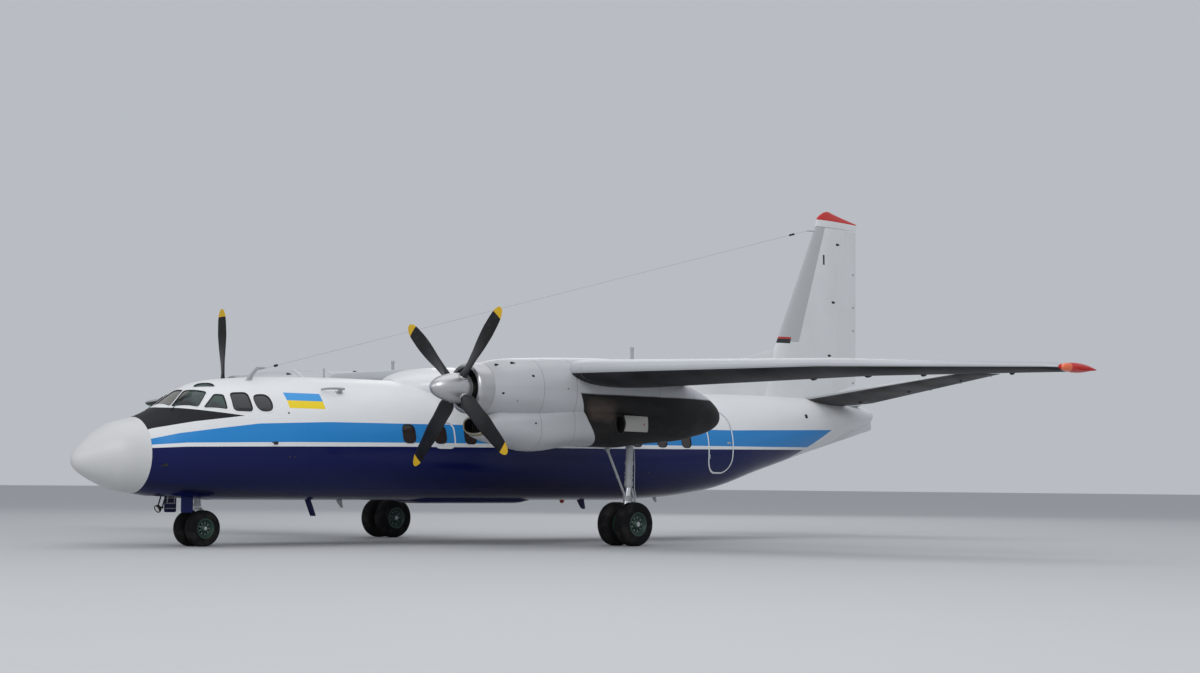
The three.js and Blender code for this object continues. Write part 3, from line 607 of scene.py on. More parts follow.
# Columns: station, height, width, height, corner radius of each white outline
EXIT_FRAME = (7.8, 2.243, 0.55, 0.515, 0.14)
REAR_DOOR_FRAME = (16.29, 2.28, 0.91, 1.46, 0.34)
FRAME_LINE = 0.019
RADOME_END = 1.27
# The rear edge of the heated strip on the fin, as (height, station)
BOOT_EDGE = [(3.3, 20.02), (4.89, 20.46), (7.78, 21.51), (7.95, 21.57)]
# The shaded rear edge of the fin along the rudder's hinge, as (height, station)
FIN_SHADE = [(3.62, 21.68), (7.88, 22.22)]
TIP_PAINT = 14.46
# The wing's leading edge, as (span, station)
LEAD_LINE = [(0, 8.42), (4.5, 8.42), (9.9, 9.567), (14.25, 10.492), (14.6, 10.93)]
COWL_SEAMS = (7.68, 8.55, 10.9, 12.1)
# The front edge of the soot on a nacelle, as (height, station), and its upper edge
SOOT_EDGE = [(1.95, 9.36), (2.0, 9.28), (2.54, 8.9), (3.07, 8.65), (3.2, 8.61)]
SOOT_TOP = 3.065


def frame_line(look, station, z, width, height, corner):
    """1 on a rounded rectangular line round a place on the flank."""
    dx = abs(look.s - station) - (width / 2 - corner)
    dz = abs(look.z - z) - (height / 2 - corner)
    away = (dx.most(0) * dx.most(0) + dz.most(0) * dz.most(0)).math("SQRT") + dx.most(dz).least(0) - corner
    return abs(away).over(FRAME_LINE).flip()


def rivets(look, pitch=0.5):
    """Rows of flush rivets along frames and stringers."""
    def row(value, pitch, half):
        return (value * (1 / pitch)).math("FRACT").near(0.5, half)

    dots = row(look.z, 0.04, 0.22) * row(look.s, pitch, 0.012)
    dots = dots.most(row(look.s, 0.04, 0.22) * row(look.z, 0.42, 0.014))
    return look.raise_by(dots * 0.0006)


def body_paint():
    """White over sky blue, a white line and navy, with the marks that break it."""
    look = Look("body_paint", WHITE, rough=0.32, coat=0.04, vary=0.05, grain=1.3, bump=0.08, shine=0.22)
    look.layer((0.7, 0.7, 0.68), look.noise(0.9, 6, (1, 0.25, 1)).over(0.57, 0.16) * 0.45)
    painted_ = look.s.over(RADOME_END) * (look.z.curve(TAIL_END) - look.s).over(0)
    for colour, line, rough in ((SKY, SKY_TOP, 0.26), (WHITE, SKY_FOOT, None), (NAVY, NAVY_TOP, 0.2)):
        look.layer(colour, (look.s.curve(line) - look.z).over(0) * painted_, rough)
    glare = (look.z - look.s.curve(GLARE_FOOT)).over(0) * (look.s.curve(GLARE_TOP) - look.z).over(0)
    look.layer(BLACK, glare * look.s.over(RADOME_END) * (look.s - 3.2).over(0).flip(), 0.6)
    left = look.x.over(0)
    dz = look.z - FLAG["z"]
    along = abs(look.s - FLAG["station"] + dz * FLAG["lean"])
    panel = along.over(FLAG["half_long"]).flip() * abs(dz).over(FLAG["half_tall"]).flip() * left
    look.layer((0.045, 0.33, 0.75), panel * dz.over(0))
    look.layer((0.9, 0.66, 0.012), panel * dz.over(0).flip())
    for frame_ in (EXIT_FRAME, REAR_DOOR_FRAME):
        line = frame_line(look, *frame_) * left
        look.layer(WHITE, line)
        look.layer((0.42, 0.43, 0.45), line * (look.z - look.s.curve(SKY_TOP)).over(0) * 0.8)
    # Painted shade: the belly darkened below about 1.35 m, laid as dark streaks along the flight
    belly_shade_streaks = look.noise(2.2, 5, (1, 0.08, 1)).over(0.5, 0.25)
    look.layer((0.006, 0.006, 0.01), belly_shade_streaks * (1.35 - look.z).over(0, 0.5) * 0.6)
    return rivets(look)


def wing_paint():
    """Pale grey with a bare metal leading edge and red tips."""
    look = painted(
        "wing_paint", (0.6, 0.62, 0.63), rough=0.46, metal=0.25, coat=0, vary=0.09, grain=0.8, bump=0.01,
        shine=0.3,
    )
    behind = look.s - abs(look.x).curve(LEAD_LINE)
    look.layer((0.47, 0.48, 0.5), behind.over(0.33).flip(), 0.4)
    look.layer((0.5, 0.52, 0.54), look.noise(0.5, 6, (1, 0.2, 1)).over(0.52, 0.2) * 0.6)
    for share in (0.3, 0.62):
        look.raise_by((behind * 0.33).near(share, 0.002) * -0.001)
    look.raise_by((abs(look.x) * (1 / 0.8)).math("FRACT").near(0.5, 0.006) * -0.0008)
    return look.layer(RED, abs(look.x).over(TIP_PAINT))


def underside_shade_paint():
    """Painted shade: the lower skins in a dark grey for the shade they are in, with oil that has run back."""
    look = painted(
        "underside_shade", (0.04, 0.041, 0.044), rough=0.55, vary=0.16, grain=0.9, shine=0.1, coat=0,
    )
    # Painted shade: lighter behind station 19.5, where the tailplanes' undersides are less shaded than the
    # wing's
    look.layer((0.1, 0.1, 0.1), look.s.over(19.5))
    look.layer((0.01, 0.01, 0.011), look.noise(1.4, 6, (1, 0.15, 1)).over(0.5, 0.25) * 0.6)
    look.layer((0.085, 0.086, 0.088), look.noise(0.35, 3, (1, 0.1, 1)).over(0.55, 0.1) * 0.45)
    return look.layer(RED, abs(look.x).over(TIP_PAINT))


def cowl_paint():
    """Light grey sheet with seams, black with soot behind the jet pipe."""
    look = painted(
        "cowl_paint", (0.54, 0.55, 0.57), rough=0.36, metal=0.1, vary=0.09, grain=1.5, shine=0.35, coat=0.05,
    )
    look.layer((0.42, 0.43, 0.44), look.noise(1.8, 6, (1, 0.12, 1)).over(0.56, 0.14) * 0.35)
    for station in COWL_SEAMS:
        seam = look.s.near(station, 0.007)
        look.raise_by(seam * -0.0015)
        look.layer((0.16, 0.165, 0.17), seam * 0.55)
    outboard = (abs(look.x) - ENGINE_X).over(0.12, 0.2)
    edge = look.z.curve(SOOT_EDGE)
    ragged = look.noise(5, 5, (1, 0.35, 1)) - 0.5
    soot = (look.s - edge).over(0, 0.02) * (SOOT_TOP - look.z + ragged * 0.03).over(0, 0.03) * outboard
    look.layer((0.0055, 0.005, 0.005), soot, 0.7)
    warm = (9.66 - look.s + ragged * 0.5).over(0, 0.25) * (look.s - edge + ragged * 0.2).over(0.12, 0.2)
    warm = warm * abs(look.z - 2.72 + ragged * 0.3).over(0.17, 0.25).flip()
    look.layer((0.11, 0.08, 0.065), soot * warm * 0.8)
    look.layer((0.05, 0.045, 0.045), soot * look.noise(3, 6, (1, 0.4, 1)).over(0.6, 0.2) * 0.25)
    return look.raise_by(look.z.near(3.12, 0.006) * (8.6 - look.s).over(0) * -0.0015)


def white_paint(name="white_paint"):
    look = painted(name, WHITE, rough=0.32, coat=0.25)
    look.layer((0.7, 0.71, 0.7), look.noise(1.1, 5, (1, 1, 0.3)).over(0.55, 0.2) * 0.5)
    return rivets(look, pitch=0.62)


def fin_paint():
    """White, with a grey heated leading edge, a dark bar, a mark at the root and painted shade along the
    rudder's hinge.
    """
    look = white_paint("fin_paint")
    edge = look.z.curve(BOOT_EDGE)
    ahead, root = (edge - look.s).over(0), (edge - look.s).over(0.3)
    look.layer((0.5, 0.51, 0.52), ahead * look.z.over(4.88), 0.42)
    look.layer((0.5, 0.03, 0.03), root * look.z.near(4.97, 0.025))
    look.layer(BLACK, root * look.z.near(4.89, 0.055))
    look.layer(BLACK, look.s.near(21.48, 0.034) * look.z.near(7.055, 0.13))
    # Painted shade of the rudder's hinge gap, a grey band along the fin's rear edge
    look.layer((0.33, 0.34, 0.35), (look.s - look.z.curve(FIN_SHADE)).over(0) * 0.7)
    return look.raise_by(abs(edge - look.s).over(0.006).flip() * -0.001)


def cap_paint():
    """White below a sloping line and red above it."""
    look = painted("cap_paint", WHITE, rough=0.34)
    return look.layer(RED, (look.z - look.s.curve([(21.2, 8.085), (22.9, 8.065)])).over(0))


def tail_paint():
    look = painted("tail_paint", (0.6, 0.62, 0.63), rough=0.36, metal=0.2, vary=0.09, grain=0.9)
    edge = look.s - abs(look.x).curve([(0, 20.56), (4.35, 21.7), (4.54, 21.9)])
    return look.layer((0.4, 0.41, 0.42), edge.over(0.16).flip(), 0.4)


def blade_paint(side):
    """Worn black, lighter towards the root with a painted sheen, with a yellow tip, by the distance from the
    shaft on that side.
    """
    look = painted(
        f"blade_{side}", (0.006, 0.006, 0.0065), rough=0.42, coat=0.0, vary=0.12, grain=4, shine=0.3,
    )
    dx, dz = look.x - SIDES[side] * ENGINE_X, look.z - SHAFT_Z
    reach = (dx * dx + dz * dz).math("SQRT")
    look.layer((0.05, 0.05, 0.052), look.noise(14, 6).over(0.62, 0.08) * 0.3)
    # Lighter grey towards the root: partly the grey of the blade's root and partly a painted sheen of
    # reflected sky
    look.layer((0.022, 0.022, 0.024), reach.over(1.0, 0.35).flip() * 0.9, 0.4)
    return look.layer((0.7, 0.43, 0.02), reach.over(PROP_RADIUS - 0.175), 0.42)


def tyre_look():
    look = Look(
        "tyre_rubber", (0.01, 0.01, 0.011), rough=0.82, vary=0.2, grain=9, bump=0.6, fine=90, shine=0.1,
    )
    return look.layer((0.045, 0.042, 0.04), look.noise(5, 6).over(0.58, 0.2) * 0.5)


def pane_glass():
    """Dark glass, beige where the windscreen shows the blinds behind it and green beside them."""
    look = Look(
        "cockpit_glass", (0.026, 0.028, 0.032), rough=0.08, coat=0.1, vary=0.4, grain=2.2, bump=0.0,
        shine=0.4,
    )
    look.layer((0.03, 0.075, 0.06), look.noise(3.5, 3).over(0.5, 0.2) * (2.82 - look.s).over(0) * 0.8)
    front = (2.36 - look.s).over(0) * look.x.over(0.3).flip()
    return look.layer((0.2, 0.185, 0.16), front * (2.36 - look.s).over(0, 0.1) * 0.8)


LOOKS = {look.name: look for look in [
    body_paint(),
    painted("radome_paint", (0.66, 0.66, 0.655), rough=0.42, coat=0.0, vary=0.05, grain=2.2),
    white_paint(),
    fin_paint(),
    cap_paint(),
    tail_paint(),
    wing_paint(),
    cowl_paint(),
    painted("red_paint", RED, rough=0.38, vary=0.1),
    underside_shade_paint(),
    painted("navy_paint", NAVY, rough=0.3, coat=0.04, shine=0.2),
    Look("bare_metal", (0.56, 0.56, 0.57), rough=0.36, metal=0.75, vary=0.12, grain=6, bump=0.1),
    Look("spinner_metal", (0.58, 0.58, 0.59), rough=0.36, metal=0.8, vary=0.08, grain=3, bump=0.1),
    Look("intake_rim", (0.34, 0.28, 0.15), rough=0.45, metal=0.6, vary=0.25, grain=8, bump=0.2),
    painted("heat_panel", (0.5, 0.48, 0.45), rough=0.45, metal=0.4, vary=0.18, grain=5),
    Look("dark_metal", (0.05, 0.048, 0.046), rough=0.55, metal=0.7, vary=0.25, grain=7, bump=0.3),
    Look("rubber", (0.012, 0.012, 0.013), rough=0.7, vary=0.15, grain=8, bump=0.2),
    Look("gear_paint", (0.44, 0.46, 0.47), rough=0.4, metal=0.25, coat=0.1, vary=0.12, grain=7, bump=0.2),
    Look("hub_green", (0.022, 0.055, 0.04), rough=0.48, metal=0.1, vary=0.2, grain=9, bump=0.3),
    Look("chrome", (0.75, 0.76, 0.77), rough=0.12, metal=1.0, vary=0.05, grain=5, bump=0.02),
    tyre_look(),
    blade_paint("left"),
    blade_paint("right"),
    Look("window_glass", (0.035, 0.024, 0.02), rough=0.07, coat=0.1, vary=0.25, grain=2.5, bump=0.0),
    pane_glass(),
    Look("window_recess", (0.11, 0.11, 0.115), rough=0.6, vary=0.1, bump=0.1),
    Look("lamp_glass", (0.75, 0.74, 0.7), rough=0.08, coat=0.8, vary=0.1, bump=0.0),
    Look("red_lamp_glass", (0.55, 0.02, 0.015), rough=0.1, coat=0.8, vary=0.1, bump=0.0),
    Look("lit_lamp_glass", (0.9, 0.16, 0.05), rough=0.1, coat=0.8, vary=0.1, bump=0.0),
    Look("green_lamp_glass", (0.02, 0.35, 0.12), rough=0.1, coat=0.8, vary=0.1, bump=0.0),
    Look("floor", (0.52, 0.53, 0.54), rough=0.8, vary=0.03, grain=0.2),
]}
# The slots of looks that don't share their name
SLOT = {
    "body_paint": "white_paint", "fin_paint": "white_paint", "cap_paint": "red_paint",
    "tail_paint": "wing_paint", "intake_rim": "bare_metal", "heat_panel": "cowl_paint",
    "tyre_rubber": "tyre", "blade_left": "blade_black", "blade_right": "blade_black",
    "window_glass": "glass", "cockpit_glass": "glass", "red_lamp_glass": "lamp_glass",
    "lit_lamp_glass": "lamp_glass", "green_lamp_glass": "lamp_glass",
}

# ---- Fuselage ----

RING_POINTS = 96
TURNS = np.arange(RING_POINTS) * 360 / RING_POINTS
# Columns: piece, front, rear, rings, look
PANELS = [
    ("nose_radome", 0.0, RADOME_END, 34, "radome_paint"),
    ("cockpit_section", RADOME_END, 4.4, 56, "body_paint"),
    ("cabin_section", 4.4, 15.3, 50, "body_paint"),
    ("tail_section", 15.3, 21.00, 44, "body_paint"),
    ("tail_cone", 21.00, LENGTH, 26, "body_paint"),
]
PANEL_SEAM = 0.002

# Cockpit panes of the left side, as (station, degrees) corners and the radius that rounds them
PANES = {
    "windscreen": ([(1.895, 68.3), (2.275, 79.5), (2.545, 60.3), (2.25, 46.2)], 0.05),
    "front_side": ([(2.345, 42.9), (2.645, 54.3), (2.81, 51.5), (2.76, 35.3)], 0.04),
    "middle_side": ([(2.88, 33.0), (2.95, 53.0), (3.31, 52.0), (3.27, 31.0)], 0.09),
    "rear_side": ([(3.37, 31.0), (3.37, 48.5), (3.74, 48.5), (3.72, 30.5)], 0.17),
    "eyebrow": ([(2.44, 77.5), (2.58, 82.0), (2.8, 73.0), (2.78, 64.5), (2.62, 69.0)], 0.12),
}
CENTRE_PANE = ([(1.885, 71.0), (1.885, 109.0), (2.275, 98.0), (2.275, 82.0)], 0.04)
DEGREE_LENGTH = 0.018  # Metres to a degree at the cockpit, to round corners evenly
WINDOW_SIZE = {"width": 0.33, "height": 0.38, "radius": 0.13}
WINDOW_STATIONS = [6.87 + 0.8175 * k for k in range(11)]
# The windows' centres, as (station, height)
WINDOW_LINE = [(6.0, 2.25), (19.0, 2.33)]
# Columns: name, piece that it is in, side, front, rear, sill, head, corner radius
DOORS = [
    ("passenger_door", "tail_section", 1, 15.88, 16.7, 1.59, 2.97, 0.3),
    ("cargo_door", "cabin_section", -1, 4.75, 5.95, 1.33, 2.45, 0.12),
    ("baggage_door", "tail_section", -1, 16.85, 17.6, 1.65, 2.95, 0.25),
]
DOOR_GAP = 0.006
RECESS = 0.03
NOSE_WELL = block(place(-0.27, 1.65, 0.5), place(0.27, 2.96, 1.35))


def pane_outline(corners, radius):
    scale = (1, DEGREE_LENGTH)
    return rounded(np.array(corners) * scale, radius, 6) / scale


def window_outline(station):
    return box_outline(station, np.interp(station, *zip(*WINDOW_LINE)), **WINDOW_SIZE)


def door_outline(front, rear, sill, head, corner, grow=0.0):
    width, height = rear - front + grow * 2, head - sill + grow * 2
    return box_outline((front + rear) / 2, (sill + head) / 2, width, height, corner + grow)


def in_door(outline):
    """True where a window falls in a door of that side."""
    station, degrees = outline.mean(0)
    side = 1 if degrees < 90 else -1
    return any(side == s and front < station < rear for _, _, s, front, rear, *_ in DOORS)


def on_both_flanks(outlines):
    return outlines + [outline * (1, -1) + (0, 180) for outline in outlines]


def fuselage_panels():
    cockpit = on_both_flanks([pane_outline(*pane) for pane in PANES.values()]) + [pane_outline(*CENTRE_PANE)]
    windows = on_both_flanks([window_outline(station) for station in WINDOW_STATIONS])
    windows = [outline for outline in windows if not in_door(outline)]
    for name, front, rear, rings, look in PANELS:
        share = np.linspace(0, 1, rings)
        if name == "nose_radome":
            share = 1 - np.cos(share * math.pi / 2)
        stations = front + PANEL_SEAM * (front > 0) + (rear - front - PANEL_SEAM) * share
        shape = loft([skin(station, TURNS) for station in stations])
        obj = piece(name + "_skin", shape, look, node=name)
        for _, panel, side, *rest in DOORS:
            if panel == name:
                opening = plug(door_outline(*rest, grow=DOOR_GAP), -RECESS, ABOVE_SKIN)
                boolean(obj, for_side(opening, side), "rubber")
        holes = [outline for outline in windows if front < outline[:, 0].mean() < rear]
        if name == "cockpit_section":
            holes = cockpit
        if holes:
            boolean(obj, joined(*(plug(hole, -RECESS, ABOVE_SKIN) for hole in holes)), "window_recess")
        if name == "cockpit_section":
            boolean(obj, NOSE_WELL, "window_recess")
        skin_shading(obj)
    glaze("cockpit_glass", cockpit, "cockpit_glass", "white_paint", 0.026)
    glaze("cabin_glass", windows, "window_glass", "body_paint", 0.022)


def glaze(name, outlines, look, rim_look, width):
    """Panes set back in their openings, each with a black seal and a raised rim."""
    panes = [plug(outline, -RECESS - 0.004, -0.012) for outline in outlines]
    piece(name, joined(*panes), look, sharp=40)
    seals = [band(outline, 0.02, -0.014, 0.0012, 0.0) for outline in outlines]
    piece(name + "_seals", joined(*seals), "rubber")
    rims = [band(outline, width, -0.002, 0.005, width / 2 + 0.009) for outline in outlines]
    piece(name + "_rims", joined(*rims), rim_look)


def doors():
    for name, _, side, *rest in DOORS:
        leaf = plug(door_outline(*rest), -RECESS + 0.004, 0.0, rings=14)
        skin_shading(piece(name + "_leaf", for_side(leaf, side), "body_paint", node=name))


# ---- Wing and tail surfaces ----

EDGE = 0.005
STEPS = 26
# Columns: span, leading edge, trailing edge, height of each, thickness ratio
WING_ROWS = np.array([
    (0, 8.42, 11.85, 3.505, 3.361, 0.16), (4.5, 8.42, 11.85, 3.505, 3.361, 0.16),
    (9.9, 9.567, 11.742, 3.49, 3.398, 0.145), (14.25, 10.492, 11.655, 3.36, 3.322, 0.13),
    (14.42, 10.56, 11.648, 3.352, 3.322, 0.127), (14.5, 10.64, 11.64, 3.348, 3.322, 0.122),
    (14.56, 10.76, 11.615, 3.344, 3.324, 0.11), (14.59, 10.88, 11.58, 3.342, 3.326, 0.09),
    (14.6, 10.96, 11.55, 3.342, 3.326, 0.05),
])
FIN_ROWS = np.array([(3.3, 19.0, 22.85, 0, 0, 0.085), (7.9, 21.245, 22.87, 0, 0, 0.085)])
CAP_ROWS = np.array([
    (7.91, 21.25, 22.872, 0, 0, 0.085), (8.09, 21.29, 22.89, 0, 0, 0.085),
    (8.12, 21.305, 22.72, 0, 0, 0.088), (8.15, 21.335, 22.57, 0, 0, 0.095), (8.19, 21.38, 22.36, 0, 0, 0.1),
    (8.23, 21.44, 22.16, 0, 0, 0.11), (8.26, 21.5, 22.02, 0, 0, 0.13), (8.29, 21.56, 21.88, 0, 0, 0.16),
    (8.32, 21.66, 21.78, 0, 0, 0.1),
])
TAIL_ROWS = np.array([
    (0, 20.56, 22.74, 3.395, 3.3, 0.11), (4.35, 21.7, 22.905, 4.034, 4.02, 0.1),
    (4.45, 21.745, 22.903, 4.046, 4.034, 0.095), (4.5, 21.79, 22.9, 4.052, 4.04, 0.085),
    (4.53, 21.85, 22.88, 4.055, 4.044, 0.07), (4.54, 21.9, 22.86, 4.056, 4.046, 0.04),
])
WING_CAMBER = 0.01
WING_JOINT = 4.75
MOVING_GAP = 0.009
END_GAP = 0.016
HINGE_FIT = 0.985
# Columns: piece, share of the chord and height of its hinge (-1 lower skin, 0 mid depth), spans, gap
MOVING_WING = [
    ("flap_inner", 0.76, -1, (1.48, 3.25), MOVING_GAP),
    ("flap_outer", 0.76, -1, (4.8, 9.35), MOVING_GAP),
    ("aileron", 0.74, 0, (9.5, 14.15), 0.016),
]
ELEVATOR_SHARE = 0.64
ELEVATOR = (0.3, 4.4)
# Ends of the rudder's hinge line, as (height, station)
RUDDER_FOOT = (3.62, 21.71)
RUDDER_HEAD = (7.88, 22.25)
# Columns: station, top, half width
DORSAL_ROWS = np.array([
    (14.8, 3.36, 0.012), (16.6, 3.86, 0.04), (18.66, 4.45, 0.07), (19.51, 4.64, 0.084), (20.5, 4.9, 0.084),
])
DORSAL_FOOT = 3.2


def half_thickness(t, ratio):
    return 5 * ratio * (0.2969 * np.sqrt(t) - 0.126 * t - 0.3516 * t ** 2 + 0.2843 * t ** 3 - 0.1036 * t ** 4)


def row_at(rows, span):
    return [np.interp(span, rows[:, 0], rows[:, k]) for k in range(1, 6)]


def depth_at(rows, span, share):
    """The station, middle height and half depth at a share of the chord."""
    lead, trail, lead_lift, trail_lift, thick = row_at(rows, span)
    chord = trail - lead
    camber = WING_CAMBER if rows is WING_ROWS else 0
    middle = lead_lift + (trail_lift - lead_lift) * share + 4 * camber * share * (1 - share) * chord
    return lead + chord * share, middle, half_thickness(share, thick) * chord + EDGE * share


def put(axis, span, station, lift):
    x, z = (span, lift) if axis == "across" else (lift, span)
    station, x, z = np.broadcast_arrays(station, x, z)
    return np.stack([x, station + NOSE_Y, z], -1)


def section(rows, span, axis):
    t = (1 - np.cos(np.linspace(0, math.pi, STEPS + 1))) / 2
    station, middle, half = depth_at(rows, abs(span), t)
    upper = put(axis, span, station, middle + half)
    return np.vstack([upper[:0:-1], put(axis, span, station, middle - half)])


def surface(rows, spans, axis="across"):
    return loft([section(rows, span, axis) for span in spans])


def spans_between(rows, low, high, step=0.5):
    knots = [span for span in rows[:, 0] if low < span < high]
    return sorted({low, high, *knots, *np.arange(low + step, high - step / 2, step).round(3)})


def hinge_point(rows, share, height, span):
    """(span, station, lift, radius) of a hinge line; height is -1 at the lower skin and 0 at mid depth."""
    station, middle, half = depth_at(rows, span, share)
    return np.array([span, station, middle + half * height, half * (1 - height) * HINGE_FIT])


def fin_hinge(span, station):
    lead, trail, *_ = row_at(FIN_ROWS, span)
    return hinge_point(FIN_ROWS, (station - lead) / (trail - lead), 0, span)


def hinge_zone(ends, axis="across", grow=0.0, past=0.0):
    """All that lies behind a hinge line, with a round front about it."""
    first, last = ends
    share = past / (last[0] - first[0])
    rings = []
    for t in (-share, 1 + share):
        span, station, lift, radius = first + (last - first) * t
        reach, front = radius + grow, grow * 0.5
        start = math.acos(front / reach)
        arc = np.linspace(math.pi - start, math.pi + start, 30)
        along = [-front, *(reach * np.cos(arc)), -front, 4, 4]
        up = [2, *(reach * np.sin(arc)), -2, -2, 2]
        rings.append(put(axis, span, station + np.array(along), lift + np.array(up)))
    return loft(rings)


def moving_surface(name, shape, look, ends, side):
    """The part of a surface behind its hinge line, on a body of its own."""
    obj = piece(f"{name}_*_skin", shape, look, body=f"{name}_*", node=f"{name}_*", side=side)
    boolean(obj, for_side(hinge_zone(ends), SIDES[side]), operation="INTERSECT")
    return obj


def wing():
    hinges = {
        name: [hinge_point(WING_ROWS, share, height, span) for span in spans]
        for name, share, height, spans, _ in MOVING_WING
    }
    zones = {name: hinge_zone(hinges[name], grow=gap, past=END_GAP) for name, *_, gap in MOVING_WING}
    joint = WING_JOINT - PANEL_SEAM
    shape = surface(WING_ROWS, [-joint, -4.5, -2, 0, 2, 4.5, joint])
    centre = piece("wing_centre_skin", shape, "wing_paint", node="wing_centre")
    boolean(centre, both(zones["flap_inner"]))
    dress_underside(centre)
    whole = surface(WING_ROWS, spans_between(WING_ROWS, WING_JOINT + PANEL_SEAM, WING_ROWS[-1, 0]))
    inner = surface(WING_ROWS, [0.5, 4.4])
    for side, sign in SIDES.items():
        outer = piece("wing_outer_*_skin", whole, "wing_paint", node="wing_outer_*", side=side)
        boolean(outer, for_side(zones["flap_outer"], sign))
        boolean(outer, for_side(zones["aileron"], sign))
        dress_underside(outer)
        for name, ends in hinges.items():
            shape = inner if name == "flap_inner" else whole
            dress_underside(moving_surface(name, shape, "wing_paint", ends, side))


def fin_and_rudder():
    ends = [fin_hinge(*RUDDER_FOOT), fin_hinge(*RUDDER_HEAD)]
    shape = surface(FIN_ROWS, np.linspace(3.3, 7.9, 10), "upright")
    fin = piece("fin_skin", shape, "fin_paint", node="fin")
    boolean(fin, hinge_zone(ends, "upright", MOVING_GAP, 0.6))
    rudder = piece("rudder_skin", shape, "white_paint", body="rudder", node="rudder")
    boolean(rudder, hinge_zone(ends, "upright"), operation="INTERSECT")
    foot = [(21.4, 3.0), (23.2, 3.0), (23.2, 3.985), (21.4, 3.52)]
    boolean(rudder, prism([place(-0.4, *point) for point in foot], (0.8, 0, 0)))
    piece("fin_cap_skin", surface(CAP_ROWS, CAP_ROWS[:, 0], "upright"), "cap_paint", node="fin_cap", sharp=50)


def tailplanes():
    ends = [hinge_point(TAIL_ROWS, ELEVATOR_SHARE, 0, span) for span in ELEVATOR]
    plane = surface(TAIL_ROWS, spans_between(TAIL_ROWS, 0.05, TAIL_ROWS[-1, 0]))
    inner_cut = [(-0.1, 21.0), (0.33, 21.0), (0.42, 21.95), (0.7, 23.0), (-0.1, 23.0)]
    slant = prism([place(x, station, 2.5) for x, station in inner_cut], (0, 0, 2))
    for side, sign in SIDES.items():
        fixed = piece("tailplane_*_skin", plane, "tail_paint", node="tailplane_*", side=side)
        boolean(fixed, for_side(hinge_zone(ends, grow=MOVING_GAP, past=END_GAP), sign))
        moving = moving_surface("elevator", plane, "tail_paint", ends, side)
        boolean(moving, for_side(slant, sign))
        dress_underside(fixed, moving)


def leaf(outline, outer, inner, share, centre=0.0):
    """A plate across X with softened edges, from a (station, z) outline."""
    return loft([
        [place(centre + x, *point) for point in shrunk(outline, size)]
        for x, size in ((-outer, share), (-inner, 1.0), (inner, 1.0), (outer, share))
    ])


def dorsal_and_ventral_fins():
    top, width = (pchip(DORSAL_ROWS[:, 0], DORSAL_ROWS[:, k]) for k in (1, 2))
    angles = np.linspace(0, math.pi, 15)
    rings = []
    for station in np.linspace(*DORSAL_ROWS[[0, -1], 0], 26):
        high, half = float(top(station)) - DORSAL_FOOT, float(width(station))
        rings.append([
            place(half * c * (1 - 0.55 * s * s), station, DORSAL_FOOT + high * s)
            for c, s in zip(np.cos(angles), np.sin(angles) ** 0.75)
        ])
    piece("dorsal_fin_skin", loft(rings), "white_paint", node="dorsal_fin", sharp=45)
    keel = rounded([(20.78, 2.09), (23.5, 2.74), (23.46, 3.0), (21.0, 3.0)], 0.1)
    piece("ventral_fin_skin", leaf(keel, 0.035, 0.022, 0.985), "white_paint", node="ventral_fin")


# ---- Fairings, nacelles and propellers ----

# Columns: station, top, bottom, half width, squareness
COWL_ROWS = np.array([
    (6.52, 3.595, 2.585, 0.505, 2), (7.0, 3.69, 2.52, 0.59, 2.1), (7.7, 3.745, 2.47, 0.64, 2.2),
    (8.7, 3.795, 2.45, 0.65, 2.4), (9.8, 3.825, 2.45, 0.65, 2.4), (10.7, 3.82, 2.3, 0.645, 2.5),
    (11.5, 3.62, 2.15, 0.61, 2.5), (12, 3.46, 2.19, 0.55, 2.4), (12.4, 3.33, 2.27, 0.48, 2.3),
    (12.75, 3.19, 2.34, 0.4, 2.2), (13, 3.06, 2.42, 0.31, 2.1), (13.2, 2.92, 2.52, 0.19, 2),
    (13.3, 2.76, 2.64, 0.05, 2),
])
CHIN_ROWS = np.array([
    (6.42, 2.56, 2.21, 0.33, 2.4), (6.53, 2.57, 2.15, 0.39, 2.4), (6.8, 2.7, 2.06, 0.47, 2.4),
    (7.22, 2.74, 1.99, 0.53, 2.5), (7.8, 2.8, 1.9, 0.57, 2.6), (8.91, 2.9, 2.02, 0.6, 2.8),
    (10, 2.9, 2.01, 0.6, 2.8), (10.8, 2.9, 2.09, 0.58, 2.7), (11.6, 2.8, 2.16, 0.54, 2.5),
])
HUMP_ROWS = np.array([
    (7.42, 3.44, 2.9, 0.38, 2), (7.77, 3.58, 2.9, 0.76, 2.2), (8.31, 3.69, 2.85, 1.12, 2.6),
    (8.7, 3.72, 2.8, 1.26, 3), (9.8, 3.72, 2.75, 1.32, 3), (11.6, 3.56, 2.75, 1.3, 3),
    (12.4, 3.5, 2.85, 1.06, 2.6), (13.3, 3.42, 2.9, 0.6, 2.2),
])
PAD_ROWS = np.array([
    (7.79, 0.96, 0.88, 0.3, 3), (8.2, 1.0, 0.832, 0.52, 3), (10.7, 1.0, 0.832, 0.52, 3),
    (11.18, 0.96, 0.88, 0.3, 3),
])
NACELLE_SPLIT = 12.9  # The right nacelle ends here in the auxiliary jet.
BORE_RADIUS = 0.4
BESIDE = 2.0  # From the shaft to where rays start towards a nacelle's left flank
JET_PIPE = {"place": (9.8, 2.48), "half": (0.13, 0.195)}
MAIN_WELL = {"front": 10.38, "rear": 10.9, "half": 0.15, "bottom": 1.5, "top": 2.7}
